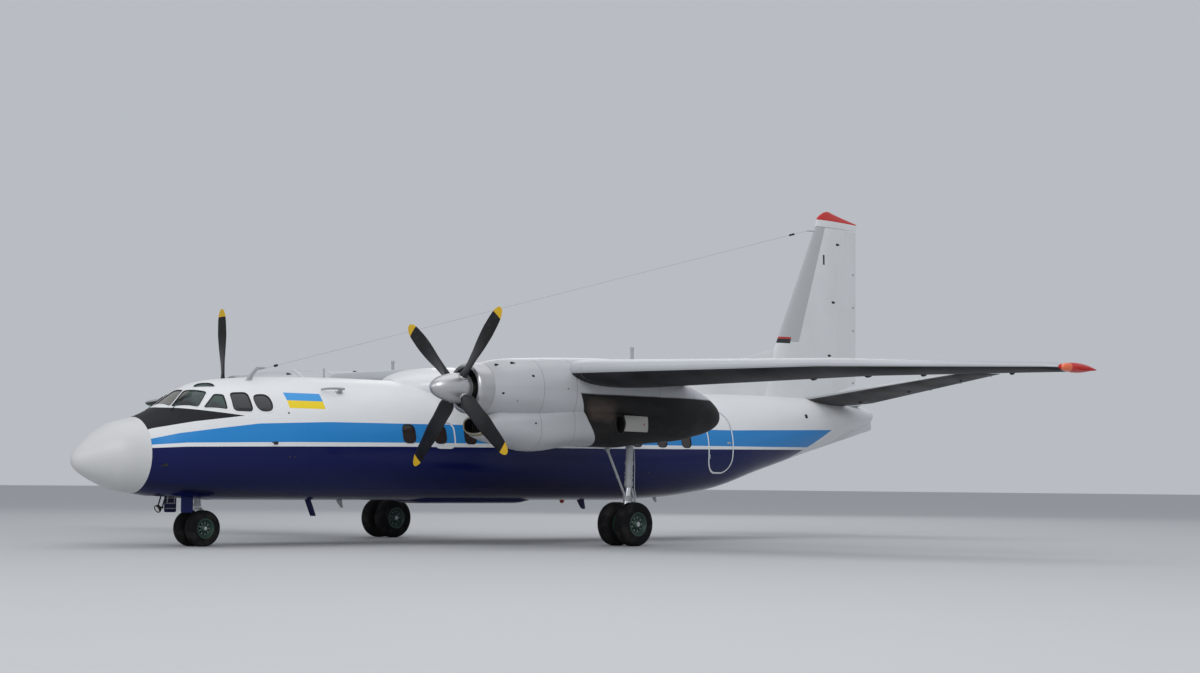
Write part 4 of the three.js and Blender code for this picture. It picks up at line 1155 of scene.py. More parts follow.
# Profiles about a line, as (along, radius)
INTAKE_LIP = [
    (0.36, 0.402), (0.06, 0.397), (0.02, 0.402), (0.004, 0.415), (0, 0.432), (0.003, 0.449), (0.016, 0.467),
    (0.05, 0.485), (0.12, 0.494), (0.36, 0.5035), (0.36, 0.402),
]
ENGINE_CONE = [(0, 0.14), (0.1, 0.2), (0.3, 0.245), (0.42, 0.25), (0.42, 0.2), (0.05, 0.1), (0, 0.14)]
ENGINE_CASING = [(0, 0.3), (0.03, 0.34), (1.68, 0.34), (1.72, 0.3)]
NOZZLE = [
    (0.001, 0.02), (0.001, 0.15), (0.2, 0.142), (0.4, 0.128), (0.425, 0.125), (0.43, 0.12), (0.425, 0.106),
    (0.2, 0.112), (0.09, 0.113), (0.09, 0.02), (0.001, 0.02),
]
SPINNER_LINE = [
    (0, 0), (0.008, 0.036), (0.03, 0.075), (0.08, 0.126), (0.14, 0.165), (0.22, 0.205), (0.33, 0.24),
    (0.45, 0.267), (0.56, 0.282), (0.7, 0.287), (0.8, 0.288), (0.81, 0.283), (0.8, 0.05),
]
SPINNER_BACK = [(0, 0.2), (0, 0.289), (0.012, 0.289), (0.014, 0.2), (0, 0.2)]
BLADE_COLLAR = [(0, 0.084), (0, 0.0925), (0.095, 0.0925), (0.105, 0.084), (0, 0.084)]
# The rim of the chin's duct, as (along, growth of its outline)
CHIN_RIM = [(0.05, -0.036), (0.008, -0.03), (-0.004, -0.016), (0.004, 0.0), (0.06, 0.004), (0.05, -0.02)]
# Lines on a nacelle's flank, as (station, height)
HEAT_PANEL = [(9.91, 2.34), (10.61, 2.335), (10.61, 2.65), (9.93, 2.66), (9.965, 2.5)]
# Columns: station, height, radius
COWL_MARKS = [
    (7.43, 3.36, 0.024), (6.7, 3.00, 0.021), (7.05, 2.86, 0.01), (8.31, 3.14, 0.012), (7.54, 2.44, 0.018),
]
# Columns: station, place across from the shaft
COWL_SCOOPS = [(6.68, 0.3), (7.04, 0.35), (7.42, -0.34), (9.3, -0.3)]
# Columns: foot, head, radius
MAST_STEPS = [(0, 0.06, 0.055), (0.05, 0.24, 0.034), (0.23, 0.3, 0.04)]
SPINNER_START = 5.32
HUB = {"front": 5.8, "rear": 6.14, "radius": 0.19, "shank": 0.082}
# Columns: reach, chord, thickness, pitch in degrees
BLADE_ROWS = np.array([
    (0.12, 0.164, 0.164, -34), (0.315, 0.166, 0.155, -34), (0.35, 0.225, 0.13, -32.5),
    (0.4, 0.285, 0.108, -31), (0.5, 0.314, 0.085, -28), (0.65, 0.311, 0.07, -22.5),
    (0.8, 0.312, 0.058, -18), (0.95, 0.33, 0.05, -12.8), (1.1, 0.345, 0.042, -9), (1.25, 0.338, 0.036, -4),
    (1.4, 0.325, 0.032, 0), (1.55, 0.307, 0.028, 1), (1.7, 0.28, 0.024, 2), (1.8, 0.245, 0.02, 2.5),
    (1.87, 0.19, 0.016, 3), (1.92, 0.13, 0.012, 3), (1.943, 0.075, 0.008, 3), (1.949, 0.025, 0.005, 3),
])
BLADE_PHASE = {"left": -0.706, "right": 0.052}
BLADES = 4


def boxy_ring(rows, station, centre, points=64, grow=0.0):
    """A superellipse, smooth between the rows of its table."""
    top, bottom, half, square = (float(pchip(rows[:, 0], rows[:, k])(station)) for k in range(1, 5))
    x, z = oval((centre, (top + bottom) / 2), (half + grow, (top - bottom) / 2 + grow), square, points).T
    return np.column_stack([x, np.full(points, station + NOSE_Y), z])


def boxy(rows, centre=0.0, step=0.1):
    low, high = rows[0, 0], rows[-1, 0]
    stations = np.linspace(low, high, max(3, round((high - low) / step) + 1))
    return loft([boxy_ring(rows, station, centre) for station in stations])


def fairings():
    piece("wing_fairing_skin", boxy(HUMP_ROWS), "white_paint", node="wing_fairing")
    piece("belly_fairing_skin", boxy(PAD_ROWS, step=0.08), "navy_paint", node="belly_fairing")


def shaft_point(station, x=ENGINE_X):
    return place(x, station, SHAFT_Z)


def dropped(tree, points, direction, out):
    """Points moved along a direction onto a surface, and then off it."""
    landed = []
    for point in points:
        spot, normal, _, _ = tree.ray_cast(Vector(point), Vector(direction))
        if spot is None:
            raise RuntimeError(f"no surface ahead of {point}")
        landed.append(spot + normal * out)
    return np.array(landed)


def plate(tree, outline, thick, rings=4):
    """A sheet on the left flank of a nacelle, from a closed (station, z) line."""
    outline = np.array([place(ENGINE_X + BESIDE, *point) for point in outline])
    shares = np.linspace(1, 0.02, rings)
    low, high = (
        [dropped(tree, shrunk(outline, share), INBOARD, out) for share in shares] for out in (-0.006, thick)
    )
    return loft(low[::-1] + high)


def chin_ring(station, grow):
    return boxy_ring(CHIN_ROWS, station, ENGINE_X, 48, grow)


def pipe_rings(outs, half, sides=40):
    """Ovals of the jet pipe at distances from the shaft's upright plane."""
    line = oval(JET_PIPE["place"], half, sides=sides)
    return [[place(ENGINE_X + out, *point) for point in line] for out in outs]


def cowl(side):
    """The nacelle's skin with its openings; returns the left one's surface without the jet pipe's hole."""
    centre, half = ENGINE_X, MAIN_WELL["half"]
    skin_ = piece(f"nacelle_{side}_skin", boxy(COWL_ROWS, centre, 0.06), "cowl_paint", node=f"nacelle_{side}")
    boolean(skin_, boxy(CHIN_ROWS, centre, 0.06), "cowl_paint", operation="UNION")
    boolean(skin_, lathe(shaft_point(6.3), AFT, [(0, BORE_RADIUS), (2.0, BORE_RADIUS)], 64), "dark_metal")
    duct = [chin_ring(6.43, -0.035) - (0, 0.1, 0), chin_ring(6.46, -0.035), chin_ring(6.9, -0.12)]
    boolean(skin_, loft(duct), "dark_metal")
    mesh = skin_.data
    points = [vertex.co.copy() for vertex in mesh.vertices]
    tree = BVHTree.FromPolygons(points, [tuple(polygon.vertices) for polygon in mesh.polygons])
    boolean(skin_, loft(pipe_rings((0.33, 0.9), JET_PIPE["half"], 32)), "dark_metal")
    foot, head = (place(centre + dx, MAIN_WELL[end], MAIN_WELL[level]) for dx, end, level in (
        (-half, "front", "bottom"), (half, "rear", "top"),
    ))
    boolean(skin_, block(foot, head), "dark_metal")
    if side == "right":
        boolean(skin_, block(place(centre - 1, NACELLE_SPLIT, 1.5), place(centre + 1, 13.6, 4)), "dark_metal")
        skin_.data.transform(Matrix.Scale(-1, 4, (1, 0, 0)))
        skin_.data.flip_normals()
    smooth(skin_, 35)
    return tree


def engine_front(side):
    """The intake ring, and in it a cone, its struts and the casing behind."""
    ring = lathe(shaft_point(6.155), AFT, INTAKE_LIP, 96)
    piece("intake_ring_lip_*", ring, "bare_metal", node="intake_ring_*", side=side)
    parts = [lathe(shaft_point(6.17), AFT, ENGINE_CONE, 48), lathe(shaft_point(6.62), AFT, ENGINE_CASING, 48)]
    for turn in full_turn(24):
        out = np.array([math.cos(turn), 0, math.sin(turn)])
        parts.append(loft([circle(shaft_point(6.5) + out * reach, out, 0.01, 8) for reach in (0.22, 0.405)]))
    parts.append(rod(shaft_point(6.15), shaft_point(6.64), 0.08))
    piece("engine_front_*", joined(*parts), "dark_metal", node="engine_*", side=side)


def cowl_fittings(side, tree):
    """The chin's rim and grille, the jet pipe, the heat panel, fasteners, scoops and the mast."""
    rim = [chin_ring(6.42 + along, grow) for along, grow in CHIN_RIM]
    piece("chin_intake_rim_*", loft(rim, closed=True), "intake_rim", side=side)
    bars = [place(ENGINE_X + dx, 6.62, 2.2) for dx in np.linspace(-0.27, 0.27, 9)]
    grille = [tube([foot, foot + (0, 0, 0.36)], 0.008) for foot in bars]
    piece("chin_grille_*", joined(*grille), "dark_metal", side=side)
    lip = oval(JET_PIPE["place"], np.add(JET_PIPE["half"], 0.004), sides=40)
    around = dropped(tree, [place(ENGINE_X + BESIDE, *point) for point in lip], INBOARD, 0.004)
    along = np.roll(around, -1, 0) - np.roll(around, 1, 0)
    rings = [circle(point, way, 0.013, 8) for point, way in zip(around, along)]
    throat = pipe_rings((0.36, 0.57), (0.11, 0.175)) + pipe_rings((0.57, 0.36), (0.103, 0.167))
    piece("jet_pipe_*", joined(loft(rings, closed=True), loft(throat, closed=True)), "dark_metal", side=side)
    shield = refined(rounded(HEAT_PANEL, 0.025), 0.06, lambda *point: np.array(point))
    piece("heat_panel_*", plate(tree, shield, 0.006), "heat_panel", side=side)
    mark = oval((10.49, 2.49), (0.022, 0.022), sides=14)
    piece("heat_panel_mark_*", plate(tree, mark, 0.009), "red_paint", side=side)
    dots = [plate(tree, oval((s, z), (r * 1.5, r), sides=12), 0.003, 2) for s, z, r in COWL_MARKS]
    piece("cowl_marks_*", joined(*dots), "rubber", slot="black_paint", side=side)
    scoops = []
    for station, x in COWL_SCOOPS:
        spot = dropped(tree, [place(ENGINE_X + x, station, 5)], (0, 0, -1), 0.0)[0]
        rings = []
        for along, wide, tall in ((0, 1, 1), (0.04, 1.1, 1.0), (0.1, 0.8, 0.6), (0.14, 0.3, 0.15)):
            across, up = oval((0, 0.004), (0.018 * wide, 0.035 * tall), sides=14).T
            rings.append(spot + np.column_stack([across, np.full(14, along), up]))
        scoops.append(loft(rings))
    piece("cowl_scoops_*", joined(*scoops), "dark_metal", side=side)
    foot = dropped(tree, [place(ENGINE_X + 0.02, 10.7, 5)], (0, 0, -1), -0.01)[0]
    mast = [rod(foot + (0, 0, low), foot + (0, 0, high), radius) for low, high, radius in MAST_STEPS]
    piece("nacelle_mast_*", joined(*mast), "gear_paint", side=side)


def blade(turn, x):
    """One blade that stands out from the shaft at an angle from upright."""
    out = np.array([-math.sin(turn), 0, math.cos(turn)])
    side = np.array([math.cos(turn), 0, math.sin(turn)])
    columns = [pchip(BLADE_ROWS[:, 0], BLADE_ROWS[:, k]) for k in (1, 2, 3)]
    around, middle = full_turn(28), shaft_point(PROP_STATION, x)
    rings = []
    for reach in sorted({*BLADE_ROWS[:, 0], *np.linspace(0.45, 1.84, 22).round(3)}):
        chord, thick, pitch = (float(column(reach)) for column in columns)
        # Round at the shank, and thin towards its trailing edge further out
        thin = min(1, max(0, (reach - 0.34) / 0.3))
        u = chord / 2 * np.cos(around)
        v = thick / 2 * np.sin(around) * (1 - thin * 0.45 * (1 - np.cos(around)) / 2)
        v += thin * thick * 0.12 * np.sin(around) ** 2
        tilt = math.radians(pitch)
        across = u * math.cos(tilt) - v * math.sin(tilt)
        back = u * math.sin(tilt) + v * math.cos(tilt)
        rings.append(middle + out * reach + np.outer(across, side) + np.outer(back, AFT))
    return loft(rings)


def propeller(side, sign):
    x = ENGINE_X * sign
    body = f"propeller_{side}"
    angles = BLADE_PHASE[side] + full_turn(BLADES)
    outs = [np.array([-math.sin(angle), 0, math.cos(angle)]) for angle in angles]
    middle = shaft_point(PROP_STATION, x)
    hub = rod(shaft_point(HUB["front"], x), shaft_point(HUB["rear"], x), HUB["radius"], 40)
    blades = joined(hub, *(blade(angle, x) for angle in angles))
    piece(body + "_blades", blades, f"blade_{side}", body=body, node=body)
    spinner = lathe(shaft_point(SPINNER_START, x), AFT, SPINNER_LINE, 96)
    obj = piece(f"spinner_{side}_skin", spinner, "spinner_metal", body=body, node=f"spinner_{side}")
    for out in outs:
        boolean(obj, rod(middle, middle + out * 0.4, HUB["shank"] + 0.012, 32), "dark_metal")
    collars = [lathe(middle + out * 0.2, out, BLADE_COLLAR, 36) for out in outs]
    piece(f"blade_collars_{side}", joined(*collars), "bare_metal", body=body)
    foot, bolts = shaft_point(6.02, x), []
    for angle in full_turn(24):
        out = np.array([math.cos(angle), 0, math.sin(angle)])
        bolts.append(rod(foot + out * 0.286, foot + out * 0.2915, 0.008, 10))
    back = lathe(shaft_point(6.125, x), AFT, SPINNER_BACK, 72)
    piece(f"spinner_{side}_fittings", joined(*bolts, back), "bare_metal", body=body)


def nacelles():
    for side, sign in SIDES.items():
        tree = cowl(side)
        engine_front(side)
        cowl_fittings(side, tree)
        if side == "right":
            nozzle = lathe(place(-ENGINE_X, NACELLE_SPLIT, 2.795), AFT, NOZZLE, 64)
            piece("aux_jet_nozzle_skin", nozzle, "dark_metal", node="aux_jet_nozzle")
        propeller(side, sign)


# ---- Landing gear ----

# Each tyre's section, as shares of its half width and of its height above the rim
TYRE_SECTION = [
    (0.82, 0.0), (0.92, 0.08), (0.975, 0.24), (1.0, 0.46), (0.985, 0.62), (0.93, 0.77), (0.85, 0.88),
    (0.74, 0.955), (0.6, 0.99), (0.47, 1.0), (0.45, 0.955), (0.41, 0.955), (0.39, 1.0), (0.16, 1.0),
    (0.14, 0.955), (0.1, 0.955), (0.08, 1.0),
]
# The outer half of a rim, as (distance from the hub's face, height above the tyre's seat)
RIM_LINE = [(0.034, -0.001), (0.022, 0.012), (0.01, 0.01), (0.012, -0.012), (0.06, -0.045), (0.072, -0.075)]
HUB_LINE = [(0.066, 0.06), (0.03, 0.035), (0.014, 0.018), (0.01, 0)]
RIM_BOLTS = 9
# Rings about an axle, as (along, radius)
MAIN_LUG = [
    (0, 0.062), (0, 0.104), (0.012, 0.115), (0.158, 0.115), (0.17, 0.104), (0.17, 0.062), (0, 0.062),
]
NOSE_LUG = [(0, 0.047), (0, 0.076), (0.01, 0.085), (0.11, 0.085), (0.12, 0.076), (0.12, 0.047), (0, 0.047)]
BRAKE = [(0, 0.07), (0, 0.19), (0.012, 0.198), (0.05, 0.198), (0.05, 0.07), (0, 0.07)]
# Struts, as (share of the length, radius)
MAIN_BRACE = [
    (0, 0.002), (0, 0.036), (0.05, 0.036), (0.06, 0.026), (0.55, 0.026), (0.555, 0.031), (0.585, 0.031),
    (0.59, 0.024), (0.94, 0.024), (0.95, 0.036), (1, 0.036), (1, 0.002),
]
NOSE_BRACE = [
    (0, 0.002), (0, 0.03), (0.45, 0.03), (0.46, 0.035), (0.52, 0.035), (0.53, 0.026), (0.95, 0.026),
    (0.96, 0.034), (1, 0.034), (1, 0.002),
]
STEERING_JACK = [(0, 0.002), (0, 0.024), (0.6, 0.024), (0.62, 0.013), (1, 0.013), (1, 0.002)]
CLAMP = [(0, 0.06), (0, 0.082), (1, 0.082), (1, 0.06), (0, 0.06)]
# Collars of the main strut, as (share of the length, half width)
MAIN_COLLARS = [(0.14, 0.03), (0.46, 0.008), (0.66, 0.025), (0.8, 0.008), (0.86, 0.012), (0.945, 0.035)]
# Columns: share of the distance beside the strut, station, height
BRAKE_ROUTE = [
    (0.9, 10.74, 2.0), (1.2, 10.735, 1.6), (1.25, 10.725, 1.22), (1.9, 10.72, 1.05), (2.1, 10.7, 0.92),
    (1.6, 10.66, 0.76), (1.5, 10.6, 0.62), (1.6, 10.56, 0.58),
]
# The landing lamp, as (along, radius)
LAMP_HEAD = [
    (0, 0.002), (0, 0.03), (0.008, 0.056), (0.04, 0.076), (0.078, 0.078), (0.085, 0.074), (0.077, 0.069),
    (0.05, 0.05), (0.05, 0.002),
]
LAMP_LENS = [(0.055, 0.002), (0.055, 0.06), (0.072, 0.066), (0.078, 0.056), (0.083, 0.03), (0.084, 0.002)]


def wheel_centre(wheels):
    return place(wheels["x"], wheels["station"], wheels["radius"])


def wheel_parts(wheels, side):
    """The tyre, the half hub, its bolts and the holes between them on one side of a pair."""
    centre, way = wheel_centre(wheels), (side, 0, 0)
    seat, inner, half = wheels["seat"], wheels["gap"], wheels["width"] / 2
    outer, axle = inner + wheels["width"], wheels["axle"]
    height = wheels["radius"] - seat
    profile = [
        (inner + half + flip * share * half, seat + up * height)
        for flip in (1, -1)
        for share, up in TYRE_SECTION[::flip]
    ]
    tyre = lathe(centre, way, profile + profile[:1], 96)
    hub = [
        (0, 0.01), (0, axle), (inner - 0.014, axle), (inner - 0.006, axle + 0.03),
        (inner + 0.002, seat * 0.8), (inner + 0.006, seat + 0.01), (inner + 0.018, seat + 0.012),
        (inner + 0.03, seat - 0.001),
        *((outer - along, seat + up) for along, up in RIM_LINE),
        *((outer - along, axle + up) for along, up in HUB_LINE),
        (outer - 0.008, 0.01),
    ]
    ring = (seat - 0.075 + axle + 0.06) / 2

    def round_the_hub(phase, low, high, radius, sides):
        low, high = (centre + (side * (outer - inset), 0, 0) for inset in (low, high))
        spots = [ring * np.array([0, math.cos(a), math.sin(a)]) for a in full_turn(RIM_BOLTS, phase)]
        return [rod(low + spot, high + spot, radius, sides) for spot in spots]

    bolts = round_the_hub(0, 0.075, 0.056, 0.011, 6)
    holes = round_the_hub(0.5, 0.14, 0.02, 0.017, 16)
    cap = [(0, 0.01), (0, axle * 0.9), (0.003, axle * 0.86), (0.007, axle * 0.5), (0.008, 0.01)]
    bolts.append(lathe(centre + (side * (outer - 0.012), 0, 0), way, cap, 32))
    return tyre, lathe(centre, way, hub, 72), joined(*bolts), joined(*holes)


def wheel_pair(wheels, body, tyre_nodes, sign=1):
    """tyre_nodes names the tyre on +X of the pair first, as built for the left side."""
    tyres, hubs, bolts, holes = zip(*(wheel_parts(wheels, side) for side in (1, -1)))
    hub = piece(body + "_hubs", for_side(joined(*hubs), sign), "hub_green", body=body, node=body)
    for hole in holes:
        boolean(hub, for_side(hole, sign), "rubber")
    piece(body + "_bolts", for_side(joined(*bolts), sign), "gear_paint", body=body)
    for tyre, node in zip(tyres, tyre_nodes):
        piece(node + "_tread", for_side(tyre, sign), "tyre_rubber", body=body, node=node)


def stepped(start, end, steps, sides=32):
    """A round strut between two (x, station, z) points, from (share of the length, radius) pairs."""
    start, end = place(*start), place(*end)
    length = np.linalg.norm(end - start)
    return lathe(start, end - start, [(share * length, radius) for share, radius in steps], sides)


def banded(radius, bands=(), swell=0.012):
    """Steps of a strut with collars at (share, half width) places."""
    steps = [(0, 0.002), (0, radius)]
    for share, half in bands:
        low, high = share - half, share + half
        steps += [(low, radius), (low, radius + swell), (high, radius + swell), (high, radius)]
    return steps + [(1, radius), (1, 0.002)]


def cross_rod(x, point, half, radius, sides):
    """A rod across X at a (station, z) point."""
    return rod(place(x - half, *point), place(x + half, *point), radius, sides)


def link(start, end, x):
    """A flat arm between two (station, z) points."""
    half, thick = 0.03, 0.014
    start, end = np.array(start), np.array(end)
    along = unit(end - start)
    across = np.array([-along[1], along[0]]) * half
    heel, toe = start - along * 0.02, end
    outline = rounded([heel + across, toe + across * 0.6, toe - across * 0.6, heel - across], 0.012, 3)
    return prism([place(x - thick / 2, *point) for point in outline], (thick, 0, 0))


def scissor(x, knee, top, foot, spread):
    """Two arms hinged at a knee behind a strut, each of two flat plates."""
    arms = []
    for dx in (-spread, spread):
        arms += [link(top, knee, x + dx), link(foot, knee, x + dx * 0.62)]
    return joined(*arms, *(cross_rod(x, point, spread + 0.02, 0.016, 16) for point in (top, knee, foot)))


def main_gear(side, sign):
    x = MAIN_WHEELS["x"]
    hub = wheel_centre(MAIN_WHEELS)
    upper = stepped((x, 10.69, 2.69), (x, 10.64, 1.2), banded(0.078, MAIN_COLLARS))
    lower = stepped((x, 10.56, 0.78), (x, 10.552, 0.49), banded(0.066, [(0.2, 0.12)]))
    lug = lathe(hub - (0.085, 0, 0), ACROSS, MAIN_LUG, 56)
    pad = rod(hub - (0, 0, 0.1), hub - (0, 0, 0.129), 0.036, 28, bevel=0.003)
    trunnion = cross_rod(x, (10.685, 2.45), 0.14, 0.055, 28)
    leg = joined(upper, lower, lug, pad, trunnion)
    piece("main_leg_strut_*", leg, "gear_paint", node="main_leg_*", side=side)
    brakes = [lathe(hub + (dx, 0, 0), ACROSS, BRAKE, 48) for dx in (-0.15, 0.1)]
    piece("main_brakes_*", joined(*brakes), "dark_metal", side=side)
    piece("main_piston_*", stepped((x, 10.645, 1.22), (x, 10.558, 0.76), banded(0.062)), "chrome", side=side)
    arms = scissor(x, (10.8, 0.9), (10.7, 1.16), (10.6, 0.66), 0.045)
    piece("main_scissor_*", arms, "gear_paint", side=side)
    brace = stepped((x, 10.02, 1.985), (x, 10.56, 0.99), MAIN_BRACE, 20)
    ends = [cross_rod(x, (10.02, 1.99), 0.07, 0.024, 20), cross_rod(x, (10.56, 0.985), 0.06, 0.026, 20)]
    clamp = stepped((x, 10.602, 1.03), (x, 10.592, 0.93), CLAMP)
    piece("main_brace_*", joined(brace, *ends, clamp), "gear_paint", side=side)
    # Rigid brake lines, clipped to the strut
    knots, fine = np.linspace(0, 1, len(BRAKE_ROUTE)), np.linspace(0, 1, 40)
    aside, station, z = (pchip(knots, column)(fine) for column in zip(*BRAKE_ROUTE))
    routes = ([place(x + dx * a, b, c) for a, b, c in zip(aside, station, z)] for dx in (-0.07, 0.07))
    lines = [tube(route, 0.009) for route in routes]
    piece("brake_lines_*", joined(*lines), "gear_paint", side=side)
    tyres = [f"main_tyre_{row}_{side}" for row in ("outer", "inner")]
    wheel_pair(MAIN_WHEELS, f"main_wheels_{side}", tyres, sign)


def nose_gear():
    s = NOSE_WHEELS["station"]
    hub = wheel_centre(NOSE_WHEELS)
    leg = stepped((0, s, 1.34), (0, s, 0.765), banded(0.066, [(0.45, 0.03), (0.7, 0.02), (0.93, 0.045)]))
    strut = stepped((0, 1.9, 1.25), (0, s - 0.03, 0.91), NOSE_BRACE, 20)
    jacks = [stepped((dx, s + 0.1, 1.0), (dx, s - 0.12, 1.0), STEERING_JACK, 18) for dx in (-0.085, 0.085)]
    piece("nose_leg_strut", joined(leg, strut, *jacks), "gear_paint", node="nose_leg")
    lower = stepped((0, s, 0.6), (0, s, 0.41), banded(0.052, [(0.2, 0.1)]))
    lug = lathe(hub - (0.06, 0, 0), ACROSS, NOSE_LUG, 48)
    pad = rod(hub - (0, 0, 0.072), hub - (0, 0, 0.099), 0.036, 28, bevel=0.003)
    collar = stepped((0, s, 0.752), (0, s, 0.71), banded(0.068))
    fork = joined(lower, lug, pad, collar)
    piece("nose_fork_strut", fork, "gear_paint", body="nose_steering", node="nose_fork")
    piston = stepped((0, s, 0.72), (0, s, 0.58), banded(0.047))
    piece("nose_piston", piston, "chrome", body="nose_steering")
    arms = scissor(0, (s + 0.2, 0.62), (s + 0.06, 0.725), (s + 0.055, 0.46), 0.035)
    piece("nose_scissor", arms, "gear_paint", body="nose_steering")
    wheel_pair(NOSE_WHEELS, "nose_wheels", ["nose_tyre_left", "nose_tyre_right"])


def nose_doors():
    """Doors that hang beside the leg's strut, each with its arms."""
    outline = rounded([(2.205, 0.655), (2.475, 0.655), (2.475, 1.02), (2.205, 1.0)], 0.04)
    door = leaf(outline, 0.0068, 0.004, 0.98, centre=0.292)
    ribs = [block(place(0.272, 2.23, z), place(0.288, 2.45, z + 0.018), 0.003) for z in (0.72, 0.82, 0.92)]
    arms = [rod(place(0.276, s, 0.84), place(0.235, s, 1.06), 0.011, 12) for s in (2.26, 2.42)]
    for side in SIDES:
        piece("nose_door_*_leaf", door, "navy_paint", node="nose_door_*", side=side)
        piece("nose_door_*_arms", joined(*ribs, *arms), "gear_paint", side=side)


def nose_lamp():
    """The landing lamp on its two arms."""
    back, front = place(0, 1.925, 0.755), place(0, 1.85, 0.712)
    arms = [rod(place(dx, 2.11, 1.344), back + (dx, 0, 0), 0.014, 16) for dx in (-0.08, 0.08)]
    bar = rod(back - (0.09, 0, 0), back + (0.09, 0, 0), 0.018, 20)
    knobs = [rod(back + (dx - 0.007, 0, 0), back + (dx + 0.007, 0, 0), 0.024, 20) for dx in (-0.088, 0.088)]
    shape = joined(lathe(back, front - back, LAMP_HEAD, 48), *arms, bar, *knobs)
    piece("nose_lamp_housing", shape, "rubber", node="nose_lamp", slot="black_paint")
    piece("nose_lamp_lens", lathe(back, front - back, LAMP_LENS, 48), "lamp_glass")


def landing_gear():
    nose_gear()
    nose_doors()
    nose_lamp()
    for side, sign in SIDES.items():
        main_gear(side, sign)


# ---- Aerials, lamps and other small fittings ----

# Columns: look, rows of (height, front, rear), thickness, place across
VANES = {
    "crown_mast": ("gear_paint", [
        (3.18, 3.5, 3.67), (3.36, 3.64, 3.75), (3.455, 3.73, 3.84),
        (3.485, 3.76, 4.0), (3.515, 3.79, 4.03),
    ], 0.035, 0.4),
    "crown_post": ("gear_paint", [(3.37, 5.72, 5.78), (3.57, 5.73, 5.77), (3.59, 5.735, 5.765)], 0.03, 0.0),
    "belly_blade": (
        "navy_paint", [(0.95, 5.3, 5.456), (0.585, 5.462, 5.612), (0.573, 5.475, 5.6)], 0.03, 0.0,
    ),
    "belly_blade_rear": (
        "navy_paint", [(0.91, 12.9, 13.14), (0.74, 13.02, 13.18), (0.7, 13.08, 13.17)], 0.024, 0.0,
    ),
    "drain_mast_front": (
        "gear_paint", [(0.91, 6.1, 6.26), (0.8, 6.18, 6.28), (0.74, 6.24, 6.3)], 0.024, 0.0,
    ),
    "drain_mast_rear": (
        "gear_paint", [(1.03, 15.3, 15.47), (0.92, 15.38, 15.49), (0.86, 15.44, 15.5)], 0.024, 0.0,
    ),
}
# The lines of the pitot probes and their feet on the nose: columns are station and height
PROBES = [(3.64, 2.007), (1.52, 1.56)]
# Small ports in the flanks: columns are station and height
PORTS = [(3.95, 1.74), (4.06, 1.74), (4.02, 2.6), (12.46, 1.533), (13.82, 1.528)]
TAIL_VENT = (19.97, 2.985)
BAR_DEGREES = 50.0
BAR_ENDS = (4.98, 5.53)
BAR_RISE = (0.07, 0.09, 0.1, 0.105, 0.105, 0.105, 0.105, 0.1)
WIRE_FROM, WIRE_TO = (0.0, 20.92, 7.76), (0.4, 4.02, 3.5)
INSULATOR = [(0, 0.003), (0.01, 0.022), (0.05, 0.028), (0.09, 0.022), (0.1, 0.003)]
WIDEST = 0.35  # Where a pod is widest, as a share of its length
# Columns: station, share of the full width
TIP_LENS = [(10.64, 0.1), (10.655, 0.42), (10.69, 0.68), (10.74, 0.86), (10.79, 0.96), (10.84, 1.0)]
TAIL_LAMP = [(0, 0.02), (0, 0.055), (0.03, 0.05), (0.055, 0.03), (0.062, 0.003)]
# Columns: surface, its rows, share of the chord, (span, length) of each hinge bracket
BRACKETS = [
    ("wing", WING_ROWS, 0.74, [(8.65, 0.2), (9.95, 0.22), (11.2, 0.18), (13.1, 0.16)]),
    ("tail", TAIL_ROWS, 0.62, [(0.95, 0.18), (2.35, 0.14), (3.8, 0.12)]),
]
# Columns: moving surface, its rows, length and spans of the static wicks
WICKS = [
    ("aileron", WING_ROWS, 0.14, (11.4, 12.2, 13.0, 13.8)),
    ("elevator", TAIL_ROWS, 0.112, (2.4, 3.3, 4.2)),
]
# Columns: span, share of the chord
FILLER_PLACES = [(5.6, 0.34), (8.2, 0.34), (10.8, 0.36), (2.4, 0.3)]
FILLER_CAP = [(0, 0.002), (0, 0.075), (0.01, 0.075), (0.013, 0.068), (0.013, 0.002)]


def vane(rows, thick, x=0.0):
    """A thin upright blade from (height, front, rear) rows."""
    rings = []
    for z, front, rear in rows:
        half = (rear - front) / 2
        flat = oval((0, 0), (half, min(thick / 2, half)), sides=20)
        rings.append([place(x + b, (front + rear) / 2 + a, z) for a, b in flat])
    return loft(rings)


def bead(station, z, up):
    """A dome on a short foot, upright or hanging where up is -1."""
    radius = 0.055
    profile = [(0, 0.002), (0, radius * 1.25), (radius * 0.25, radius * 1.2), (radius * 0.3, radius)]
    profile += [(radius * (0.3 + 1.1 * math.sin(a)), radius * math.cos(a)) for a in np.linspace(0.3, 1.55, 6)]
    return lathe(place(0, station, z), (0, 0, up), profile, 28)


def teardrop(span, station, z, length, half_wide, half_tall):
    """A slim pod along the flight, pointed at the rear."""
    rings = []
    for t in np.linspace(0, 1, 15):
        if t < WIDEST:
            swell = math.sqrt(1 - (1 - t / WIDEST) ** 2)
        else:
            swell = math.cos((t - WIDEST) / (1 - WIDEST) * math.pi / 2) ** 0.8
        swell = max(0.04, swell)
        flat = oval((span, z), (half_wide * swell, half_tall * swell), sides=20)
        rings.append([place(a, station + length * (t - 0.5), b) for a, b in flat])
    return loft(rings)


